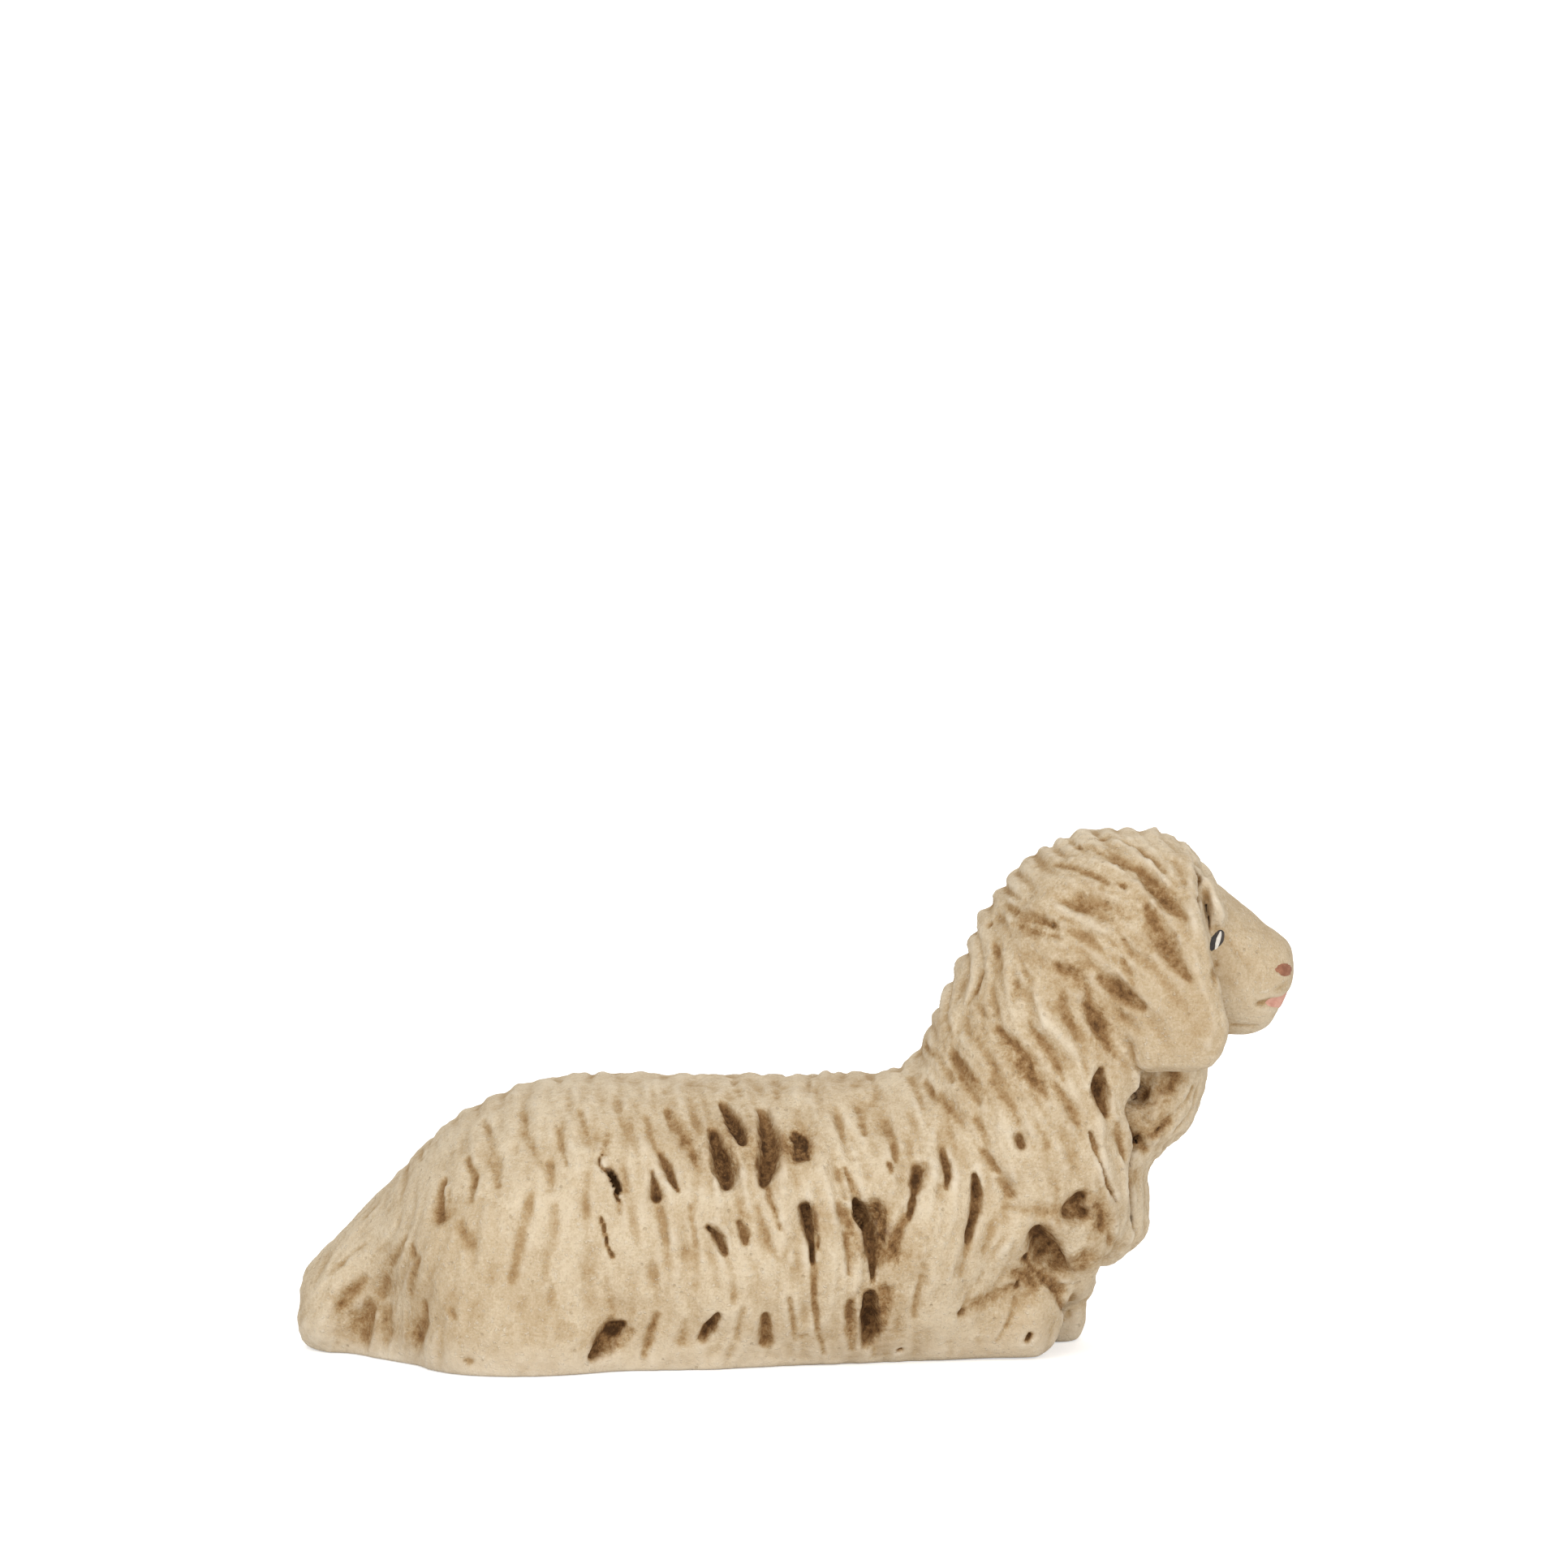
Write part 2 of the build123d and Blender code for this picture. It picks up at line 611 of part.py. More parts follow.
def main():
    os.makedirs(OUT, exist_ok=True)
    parts = make_clay()
    parts.update(make_paint(parts["head"], parts["right_brow"]))
    for name, furrows in (("trunk", trunk_furrows), ("neck", neck_furrows), ("poll_fleece", hood_furrows)):
        parts[name] = main_solid(parts[name] - furrows(parts[name]))
    boxes = [solid.bounding_box() for solid in parts.values()]
    rear = min(box.min.X for box in boxes)
    front = max(box.max.X for box in boxes)
    right = min(box.min.Y for box in boxes)
    left = max(box.max.Y for box in boxes)
    top = max(box.max.Z for box in boxes)
    print("length", round(front - rear, 2), "width", round(left - right, 2), "height", round(top, 2))
    home = Pos(-(rear + front) / 2, -(right + left) / 2, 0)
    for name, solid in parts.items():
        export_step(home * solid, f"{OUT}/{name}.step")


main()
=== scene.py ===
import json
import math

import bpy
import numpy as np
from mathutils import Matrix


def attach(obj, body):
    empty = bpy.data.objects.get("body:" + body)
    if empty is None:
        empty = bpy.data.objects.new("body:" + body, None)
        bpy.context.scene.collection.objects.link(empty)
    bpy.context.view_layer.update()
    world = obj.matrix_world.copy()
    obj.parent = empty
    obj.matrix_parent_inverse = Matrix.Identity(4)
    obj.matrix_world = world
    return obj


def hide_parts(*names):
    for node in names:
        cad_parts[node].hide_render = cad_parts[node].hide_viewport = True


# A moulded clay sheep, lying with its head up, with its furrowed fleece, brown wash and paint.
#
# The clay is sculpted on a grid of distances: rounded forms are blended into one body, then
# furrows and locks are drawn on it as strokes. The surface of the grid becomes the meshes, one
# for each lump of clay in the frame. The strokes of the right side are placed by their pixels
# in the photograph, of 1932 by 1932, through the same camera that takes the picture. Lengths in
# this file are in millimetres until a mesh, a lamp or the camera is made.

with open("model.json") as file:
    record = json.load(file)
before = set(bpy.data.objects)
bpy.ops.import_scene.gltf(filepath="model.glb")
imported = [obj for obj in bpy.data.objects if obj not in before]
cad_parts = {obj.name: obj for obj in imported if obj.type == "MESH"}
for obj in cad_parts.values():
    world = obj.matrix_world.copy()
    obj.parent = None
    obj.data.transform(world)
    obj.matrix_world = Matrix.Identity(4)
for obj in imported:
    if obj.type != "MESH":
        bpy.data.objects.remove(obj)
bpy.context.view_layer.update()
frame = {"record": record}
random = np.random.default_rng(7)

MM = 0.001
STEP = 0.2  # spacing of the grid
LOW = (-41.2, -16.0, -1.0)
HIGH = (41.2, 16.0, 43.8)
FAR = 6.0  # distances beyond this don't matter
TINY = 1e-6
SIDES = ((-1, "right"), (1, "left"))

# Camera: a long lens about ten degrees above the sheep, which lies low in its picture
IMAGE = 1932
CAMERA_PLACE = (0.0, -690.0, 121.7)
CAMERA_PITCH = 6.31  # degrees below level
CAMERA_YAW = 0.056
SENSOR = 36.0
LENS = 200.1
PER_MM = 15.36  # pixels of the photograph
SIGHT_START = -18.0  # the search along a line of sight begins at this y
SIGHT_REACH = 34.0
SIGHT_STEP = 0.25

# Forms of the body. Each row: x, z, y, depth, width, droop. Depth lies along the section,
# which falls forward by droop degrees: 0 is a level section and 90 an upright one.
NECK = [
    (12.6, 5.5, 0, 12.0, 9.0, 18),
    (13.5, 8.0, 0, 22.5, 17.0, 20),
    (15.2, 11.3, 0, 26.0, 20.6, 23),
    (18.6, 16.5, 0, 22.2, 20.4, 25),
    (21.1, 22.9, 0, 21.0, 18.8, 28),
    (23.4, 29.9, 0, 18.7, 17.0, 30),
    (25.0, 33.7, 0, 13.6, 13.0, 31),
]
HOOD = [
    (15.6, 33.2, 0, 3.2, 3.8, 90),
    (17.3, 33.6, 0, 8.6, 8.9, 90),
    (20.4, 33.7, 0, 13.4, 14.1, 90),
    (24.6, 33.7, 0, 16.1, 17.0, 90),
    (28.5, 33.6, 0, 15.9, 17.2, 90),
    (31.2, 33.2, 0, 14.9, 16.2, 90),
    (32.5, 32.6, 0, 13.2, 14.6, 90),
    (33.0, 32.2, 0, 11.0, 12.4, 90),
]
FACE = [
    (28.0, 32.4, 0, 12.0, 11.8, 90),
    (31.3, 31.9, 0, 12.8, 11.9, 90),
    (33.6, 31.4, 0, 12.2, 11.0, 90),
    (36.0, 30.5, 0, 10.3, 9.4, 90),
    (38.0, 30.0, 0, 7.9, 7.9, 90),
    (38.9, 30.1, 0, 6.4, 6.8, 90),
    (39.5, 30.5, 0, 4.5, 5.4, 90),
    (39.85, 30.6, 0, 2.8, 3.8, 90),
    (40.0, 30.6, 0, 1.0, 1.6, 90),
]
BIB = [
    (24.2, 6.9, 0, 3.2, 5.0, 0),
    (25.0, 9.4, 0, 7.0, 9.0, 0),
    (25.2, 12.2, 0, 6.8, 10.2, 0),
    (25.5, 14.4, 0, 6.2, 10.4, 0),
    (26.7, 16.3, 0, 6.4, 10.8, 0),
    (28.1, 18.0, 0, 7.2, 11.2, 0),
    (29.0, 20.4, 0, 7.4, 11.4, 0),
    (29.8, 23.4, 0, 7.0, 10.8, 0),
    (30.2, 26.0, 0, 5.0, 8.2, 0),
]
TAIL = [
    (-36.6, -0.4, 0, 4.0, 6.0, 0),
    (-36.8, 1.4, 0, 5.6, 8.4, 4),
    (-36.5, 3.9, 0, 6.3, 9.4, 24),
    (-34.4, 6.7, 0, 6.1, 9.8, 44),
    (-30.8, 10.3, 0, 5.2, 8.6, 45),
]
EAR = [
    (29.9, 23.5, 7.8, 3.8, 1.4, 0),
    (30.2, 24.0, 8.1, 5.8, 2.5, 0),
    (30.5, 25.4, 8.3, 7.0, 3.1, 0),
    (30.2, 27.6, 8.3, 8.3, 3.4, 0),
    (29.6, 30.2, 8.2, 8.3, 3.4, 0),
    (29.4, 33.0, 8.0, 7.0, 3.0, 0),
    (29.3, 36.0, 7.2, 6.4, 2.6, 0),
    (29.5, 38.6, 5.6, 4.8, 1.8, 0),
    (29.8, 40.2, 4.0, 3.6, 1.2, 0),
]
NEAR_FORELEG = [
    (8.0, 2.2, -4.1, 3.8, 5.0, 90),
    (12.0, 2.9, -4.1, 6.0, 6.6, 90),
    (16.0, 3.5, -4.1, 7.8, 7.2, 90),
    (19.2, 3.8, -4.1, 8.2, 7.0, 90),
    (20.8, 4.1, -4.1, 6.4, 5.0, 90),
    (21.5, 4.2, -4.1, 3.4, 2.8, 90),
]
FAR_FORELEG = [
    (9.0, 2.2, 4.1, 3.8, 5.0, 90),
    (13.5, 2.9, 4.1, 6.0, 6.6, 90),
    (18.0, 3.4, 4.1, 7.6, 7.2, 90),
    (21.2, 3.4, 3.8, 8.6, 6.6, 90),
    (22.9, 3.2, 3.6, 6.8, 5.4, 90),
    (23.6, 3.2, 3.6, 3.8, 3.2, 90),
]
# Trunk. Each row: x, height, width, width at the ground
TRUNK = [
    (-36.6, 6.4, 4.6, 4.2),
    (-35.2, 9.4, 8.6, 7.6),
    (-33.2, 12.0, 13.2, 12.0),
    (-31.0, 14.7, 17.6, 16.0),
    (-28.4, 17.2, 21.6, 20.0),
    (-25.0, 19.6, 24.6, 23.2),
    (-21.0, 21.1, 26.2, 24.2),
    (-16.0, 21.9, 26.8, 23.4),
    (-8.0, 21.8, 27.0, 22.4),
    (0.0, 21.8, 26.4, 18.4),
    (5.0, 22.0, 25.2, 16.4),
    (9.0, 21.8, 23.9, 14.6),
    (12.5, 19.6, 21.8, 12.6),
    (14.5, 16.8, 18.8, 10.4),
    (16.0, 13.6, 15.8, 8.6),
]
# Ellipsoids. Each row: middle, half sizes
THIGH = ((-22.6, 8.0, 6.4), (7.9, 6.0, 9.2))
SHANK = ((-21.6, 10.2, 1.9), (7.4, 4.1, 4.4))
BROW = ((33.2, 4.5, 36.7), (0.8, 1.4, 2.2))
EAR_TURN = 0.18  # the back edge of an ear lies this much deeper for each millimetre of its length
BROW_LEAN = -22.0

axes = [np.arange(low, high, STEP, dtype=np.float32) for low, high in zip(LOW, HIGH)]
solid = np.full([len(axis) for axis in axes], FAR, np.float32)
nearest = np.full(solid.shape, FAR, np.float32)
owner = np.zeros(solid.shape, np.int8)
owners = []


def unit(ways, least=TINY):
    """Directions with a length of one."""
    return ways / np.maximum(np.linalg.norm(ways, axis=1, keepdims=True), least)


def window(low, high):
    """The part of the grid inside a box: its slices, and x, y and z there."""
    cuts = []
    for axis, a, b in zip(axes, low, high):
        cuts.append(slice(max(np.searchsorted(axis, a) - 1, 0), np.searchsorted(axis, b) + 1))
    x, y, z = (axis[cut] for axis, cut in zip(axes, cuts))
    return tuple(cuts), x[:, None, None], y[None, :, None], z[None, None, :]


def cell_of(points):
    """The grid cell nearest to each point."""
    cells = [np.round((points[:, i] - axis[0]) / STEP).astype(int) for i, axis in enumerate(axes)]
    return tuple(np.clip(cell, 0, len(axis) - 1) for cell, axis in zip(cells, axes))


def smooth_rows(rows, count=64):
    """More rows between these, on smooth curves that never overshoot."""
    rows = np.array(rows, float)
    gaps = np.maximum(np.hypot(*np.diff(rows[:, :2], axis=0).T), 0.2)
    at = np.concatenate([[0], np.cumsum(gaps)])
    slopes = np.diff(rows, axis=0) / gaps[:, None]
    before, after = slopes[:-1], slopes[1:]
    agree = before * after > 0
    inner = np.where(agree, 2 * before * after / np.where(agree, before + after, 1), 0)
    tangents = np.vstack([slopes[:1], inner, slopes[-1:]])
    places = np.linspace(0, at[-1], count)
    k = np.clip(np.searchsorted(at, places, side="right") - 1, 0, len(gaps) - 1)
    u = ((places - at[k]) / gaps[k])[:, None]
    gap = gaps[k][:, None]
    start = rows[k] * (1 + 2 * u) * (1 - u) ** 2 + tangents[k] * gap * u * (1 - u) ** 2
    return start + rows[k + 1] * u * u * (3 - 2 * u) - tangents[k + 1] * gap * u * u * (1 - u)


def oval_distance(u, v, half_u, half_v, power):
    """About how far a point lies outside an oval with those half sizes."""
    a, b = np.abs(u / half_u), np.abs(v / half_v)
    size = (a**power + b**power + 1e-9) ** (1 / power)
    slope = np.hypot(a ** (power - 1) / half_u, b ** (power - 1) / half_v)
    return (size - 1) * size ** (power - 1) / np.maximum(slope, 1e-3)


def capped(out, past):
    """The distance with a rounded end, where a point lies past the last section."""
    return np.where(past > 0, np.hypot(np.maximum(out, 0), past), out).astype(np.float32)


def lofted(rows, power=2.0, turn=0.0, margin=3.0):
    """Distance to a form that runs through ovals, and the window that it was worked out in."""
    rows = smooth_rows(rows)
    fall = np.radians(rows[:, 5])
    if (np.diff(rows[:, 0]) * np.sin(fall[1:]) + np.diff(rows[:, 1]) * np.cos(fall[1:])).sum() < 0:
        rows, fall = rows[::-1], fall[::-1]
    reach = rows[:, 3:5].max() / 2 + margin
    low = rows[:, [0, 2, 1]].min(0) - reach
    high = rows[:, [0, 2, 1]].max(0) + reach
    cuts, x, y, z = window(low, high)
    ahead = (x - rows[:, 0]) * np.sin(fall) + (z.reshape(1, -1, 1) - rows[:, 1]) * np.cos(fall)
    k = np.clip((ahead > 0).sum(-1, keepdims=True) - 1, 0, len(rows) - 2)
    here, beyond = (np.take_along_axis(ahead, k + i, -1)[..., 0] for i in (0, 1))
    u = np.clip(here / np.maximum(here - beyond, TINY), 0, 1)[..., None]
    row = rows[k[..., 0]] * (1 - u) + rows[k[..., 0] + 1] * u
    fall = np.radians(row[..., 5])
    along = (x[..., 0] - row[..., 0]) * np.cos(fall) - (z[0] - row[..., 1]) * np.sin(fall)
    past = np.maximum(-here, 0) + np.maximum(beyond, 0)
    middle, half_depth, half_width = (row[:, None, :, i] / (2 if i > 2 else 1) for i in (2, 3, 4))
    middle = middle + turn * along[:, None, :]
    out = oval_distance(along[:, None, :], y - middle, half_depth, half_width, power)
    return cuts, capped(out, past[:, None, :])


def barrel(rows, power=2.3, girth=0.40, margin=3.0, over=4.0):
    """Distance to the trunk: upright sections, widest at the girth and narrower at the ground."""
    rows = smooth_rows(rows)
    first, last = rows[0, 0], rows[-1, 0]
    top = rows[:, 1].max() + over
    cuts, x, y, z = window((first - margin, LOW[1], LOW[2]), (last + margin, HIGH[1], top))
    high, wide, base = (np.interp(x, rows[:, 0], rows[:, i]) for i in (1, 2, 3))
    waist = girth * high
    low_share = 1 - np.clip(z / waist, 0, 1)
    half = wide / 2 - (wide - base) / 2 * low_share**2
    out = oval_distance(np.maximum(z - waist, 0), y, high - waist, half, power)
    return cuts, capped(out, np.maximum(first - x, 0) + np.maximum(x - last, 0))


def lump(middle, halves, lean=0.0, margin=3.0):
    """Distance to an ellipsoid, turned about the Y axis."""
    reach = max(halves) + margin
    cuts, x, y, z = window([m - reach for m in middle], [m + reach for m in middle])
    turn = math.radians(lean)
    dx, dz = x - middle[0], z - middle[2]
    u = (dx * math.cos(turn) - dz * math.sin(turn)) / halves[0]
    w = (dx * math.sin(turn) + dz * math.cos(turn)) / halves[2]
    v = (y - middle[1]) / halves[1]
    size = np.sqrt(u * u + v * v + w * w)
    slope = np.sqrt((u / halves[0]) ** 2 + (v / halves[1]) ** 2 + (w / halves[2]) ** 2)
    return cuts, (size * (size - 1) / np.maximum(slope, 1e-3)).astype(np.float32)


def melt(a, b, soft):
    """The nearer of two distances, rounded where they meet."""
    overlap = np.maximum(soft - np.abs(a - b), 0) / soft
    return np.minimum(a, b) - overlap * overlap * soft / 4


def press_on(name, form, soft):
    """Blends a form into the body and marks what is nearest to it as that lump."""
    cuts, out = form
    if name not in owners:
        owners.append(name)
    closer = out < nearest[cuts]
    owner[cuts][closer] = owners.index(name)
    nearest[cuts][closer] = out[closer]
    solid[cuts] = melt(solid[cuts], out, soft)


def unit_slope(field, limit=3.0, least=0.35, most=2.5):
    """The field with its values near the surface turned into true distances."""
    gx, gy, gz = np.gradient(field, STEP)
    slope = np.sqrt(gx * gx + gy * gy + gz * gz)
    near = np.abs(field) < limit
    return np.where(near, field / np.clip(slope, least, most), field).astype(np.float32)


def sample(field, points):
    """The field's value at points between those of the grid."""
    place = [(points[:, i] - axes[i][0]) / STEP for i in range(3)]
    cell = [np.clip(p.astype(int), 0, len(axis) - 2) for p, axis in zip(place, axes)]
    share = [np.clip(p - c, 0, 1) for p, c in zip(place, cell)]
    total = 0
    for corner in range(8):
        step = [(corner >> i) & 1 for i in range(3)]
        weight = 1
        for s, i in zip(share, step):
            weight = weight * (s if i else 1 - s)
        total = total + weight * field[cell[0] + step[0], cell[1] + step[1], cell[2] + step[2]]
    return total


def facing(field, points, reach=0.3):
    """The way that the surface faces at points."""
    slope = np.empty_like(points)
    for i in range(3):
        aside = np.zeros(3)
        aside[i] = reach
        slope[:, i] = sample(field, points + aside) - sample(field, points - aside)
    return unit(slope)


def settle(field, points, times=3):
    """Points moved on to the surface."""
    for _ in range(times):
        points = points - sample(field, points)[:, None] * facing(field, points)
    return points


# Camera geometry, shared by the picture and by the strokes
pitch, yaw = math.radians(CAMERA_PITCH), math.radians(CAMERA_YAW)
level = math.cos(pitch)
forward = np.array([-math.sin(yaw) * level, math.cos(yaw) * level, -math.sin(pitch)])
rightward = np.array([math.cos(yaw), math.sin(yaw), 0.0])
upward = np.cross(rightward, forward)


def sight(pixels, y):
    """Where the camera's lines of sight through pixels cross a plane of constant y, and their ways."""
    pixels = np.asarray(pixels, float)
    across = (pixels[:, :1] - IMAGE / 2) / IMAGE * SENSOR / LENS
    down = (pixels[:, 1:2] - IMAGE / 2) / IMAGE * SENSOR / LENS
    way = forward + across * rightward - down * upward
    way = way / np.linalg.norm(way, axis=1, keepdims=True)
    return np.array(CAMERA_PLACE) + way * ((y - CAMERA_PLACE[1]) / way[:, 1:2]), way


def first_met(field, lines, outwards=False):
    """Where lines of points first come into the clay, or out of it, on its surface."""
    values = sample(field, lines.reshape(-1, 3)).reshape(lines.shape[:2])
    hits = values > 0 if outwards else values < 0
    first = np.where(hits.any(1), hits.argmax(1), values.argmin(1))
    return settle(field, lines[np.arange(len(lines)), first])


def seen(field, pixels):
    """Where the camera's lines of sight meet the surface, or pass nearest to it."""
    start, way = sight(pixels, SIGHT_START)
    depths = np.arange(0, SIGHT_REACH, SIGHT_STEP)
    return first_met(field, start[:, None] + way[:, None] * depths[None, :, None])


# The shoulders end in an edge on each side of the breast: its places from the ground upwards
EDGE_Z = [0, 8.0, 10.5, 14.0, 18.0, 21.0, 23.6, 25.2, 27.0]
EDGE_X = [22.5, 24.6, 26.9, 26.7, 27.3, 27.0, 28.0, 31.5, 40.0]
EDGE_ROUNDING = 0.9


def neck():
    """The neck, cut off in front at the edges of the shoulders."""
    cuts, out = lofted(NECK)
    past = axes[0][cuts[0], None] - np.interp(axes[2][cuts[2]], EDGE_Z, EDGE_X)[None, :]
    return cuts, -melt(-out, -past[:, None, :].astype(np.float32), EDGE_ROUNDING)


def beside(side, place):
    """A place given for the left side, on either side."""
    return (place[0], side * place[1], place[2])


press_on("trunk", barrel(TRUNK), soft=0.1)
press_on("neck", neck(), soft=3.0)
press_on("poll_fleece", lofted(HOOD, power=2.1), soft=2.2)
press_on("breast_fleece", lofted(BIB), soft=0.8)
press_on("tail", lofted(TAIL), soft=1.6)
for side, name in SIDES:
    for form, halves in (THIGH, SHANK):
        press_on(f"{name}_hind_leg", lump(beside(side, form), halves), soft=2.6)
press_on("right_foreleg", lofted(NEAR_FORELEG, power=2.2), soft=1.8)
press_on("left_foreleg", lofted(FAR_FORELEG, power=2.2), soft=2.8)
press_on("head", lofted(FACE, power=2.2), soft=0.7)
for side, name in SIDES:
    press_on(f"{name}_brow", lump(beside(side, BROW[0]), BROW[1], BROW_LEAN), soft=1.0)
    rows = np.array(EAR) * (1, 1, side, 1, 1, 1)
    press_on(f"{name}_ear", lofted(rows, power=2.8, turn=side * EAR_TURN), soft=0.8)
solid = unit_slope(solid)


def soft_hollow(middle, halves, depth, reach=2.2):
    """A broad dent in the body, or a swelling where depth is under zero."""
    low = [m - reach * h for m, h in zip(middle, halves)]
    high = [m + reach * h for m, h in zip(middle, halves)]
    cuts, x, y, z = window(low, high)
    far = ((x - middle[0]) / halves[0]) ** 2 + ((y - middle[1]) / halves[1]) ** 2
    far = far + ((z - middle[2]) / halves[2]) ** 2
    solid[cuts] += (depth * np.exp(-far)).astype(np.float32)


# Broad dents and swellings of the right side, by pixel: x, y, half width, half height, depth
SOFT_FORMS = [
    (470, 1600, 30, 46, 1.3), (520, 1620, 20, 40, 0.8), (560, 1480, 30, 60, 0.25),
    (735, 1600, 26, 60, 0.35), (1075, 1540, 24, 70, 0.7), (1285, 1552, 24, 30, 1.6),
    (1330, 1575, 24, 22, 0.6), (1060, 1400, 26, 60, 0.35), (1000, 1420, 30, 50, -0.25),
    (1150, 1540, 40, 50, -0.5), (1225, 1480, 40, 40, 0.35), (1350, 1440, 26, 60, -0.4),
    (1210, 1250, 40, 40, 0.2), (1350, 1120, 46, 16, 0.45), (1445, 1165, 14, 34, 0.3),
    (1486, 1112, 6, 26, 0.5), (900, 1600, 60, 40, -0.3), (645, 1620, 60, 50, -0.2),
]
CHIN = (39.9, 0.0, 27.3, 1.3, 3.5, 1.5, 1.0)  # place, half sizes and depth of the dent at the chin
SOFT_PER_MM = 15.4  # pixels, for these broad forms
SOFT_THICK = 4.0  # their half size across the body
middles = seen(solid, [row[:2] for row in SOFT_FORMS])
for (_, _, wide, high, deep), middle in zip(SOFT_FORMS, middles):
    halves = (wide / SOFT_PER_MM, SOFT_THICK, high / SOFT_PER_MM)
    for side in (-1, 1):
        soft_hollow(beside(-side, middle), halves, deep)
soft_hollow(CHIN[:3], CHIN[3:6], CHIN[6])
solid = unit_slope(solid)
base = solid.copy()

groove = np.zeros_like(solid)
stain = np.zeros_like(solid)
STAIN_SPREAD = 1.35  # how far past a groove its brown wash runs
STAIN_FALL = 1.1


def stroke(points, widths, depths, stains, sharp=2.0):
    """Draws a groove along a line on the body, or a lock where depths are under zero."""
    for i in range(len(points) - 1):
        a, b = points[i], points[i + 1]
        reach = max(widths[i], widths[i + 1]) * 1.5 + 0.3
        cuts, x, y, z = window(np.minimum(a, b) - reach, np.maximum(a, b) + reach)
        run = b - a
        length2 = max(run @ run, TINY)
        gaps = (x - a[0], y - a[1], z - a[2])
        u = np.clip((gaps[0] * run[0] + gaps[1] * run[1] + gaps[2] * run[2]) / length2, 0, 1)
        far = sum((gap - u * step) ** 2 for gap, step in zip(gaps, run))
        far = np.maximum(far - base[cuts] ** 2, 0)
        wide = (widths[i] + (widths[i + 1] - widths[i]) * u) / 2
        deep = depths[i] + (depths[i + 1] - depths[i]) * u
        share = far / (wide * wide)
        shape = deep * np.exp(-(share ** (sharp / 2)))
        old = groove[cuts]
        if depths[i] + depths[i + 1] >= 0:
            groove[cuts] = np.where(old >= 0, np.maximum(old, shape), old + shape)
        else:
            groove[cuts] = np.where(old <= 0, np.minimum(old, shape), old + shape)
        if stains[i] or stains[i + 1]:
            tint = stains[i] + (stains[i + 1] - stains[i]) * u
            tint = tint * np.exp(-((share / STAIN_SPREAD) ** STAIN_FALL))
            stain[cuts] = np.maximum(stain[cuts], tint)


SOFT_WIDTH = 1.35  # furrows of sharpness 2 are this much wider and shallower than drawn
SOFT_DEPTH = 0.62
SOFT_TINT = 0.82


def draw(row, side=-1, shift=(0.0, 0.0), gain=1.0):
    """One row of a stroke table, on the right side or mirrored on the left one."""
    deep, tint, sharp, line = row
    line = np.array(line, float)
    points = seen(base, line[:, :2])
    if side > 0:
        points = settle(base, points * (1, -1, 1) + (shift[0], 0, shift[1]))
    widths = line[:, 2] / PER_MM
    thick = widths / widths.max()
    if sharp == 2:
        widths = widths * SOFT_WIDTH
        deep = deep * SOFT_DEPTH
        tint = tint * SOFT_TINT
    stroke(points, widths, gain * deep * thick**0.6, tint * thick**0.3, sharp)


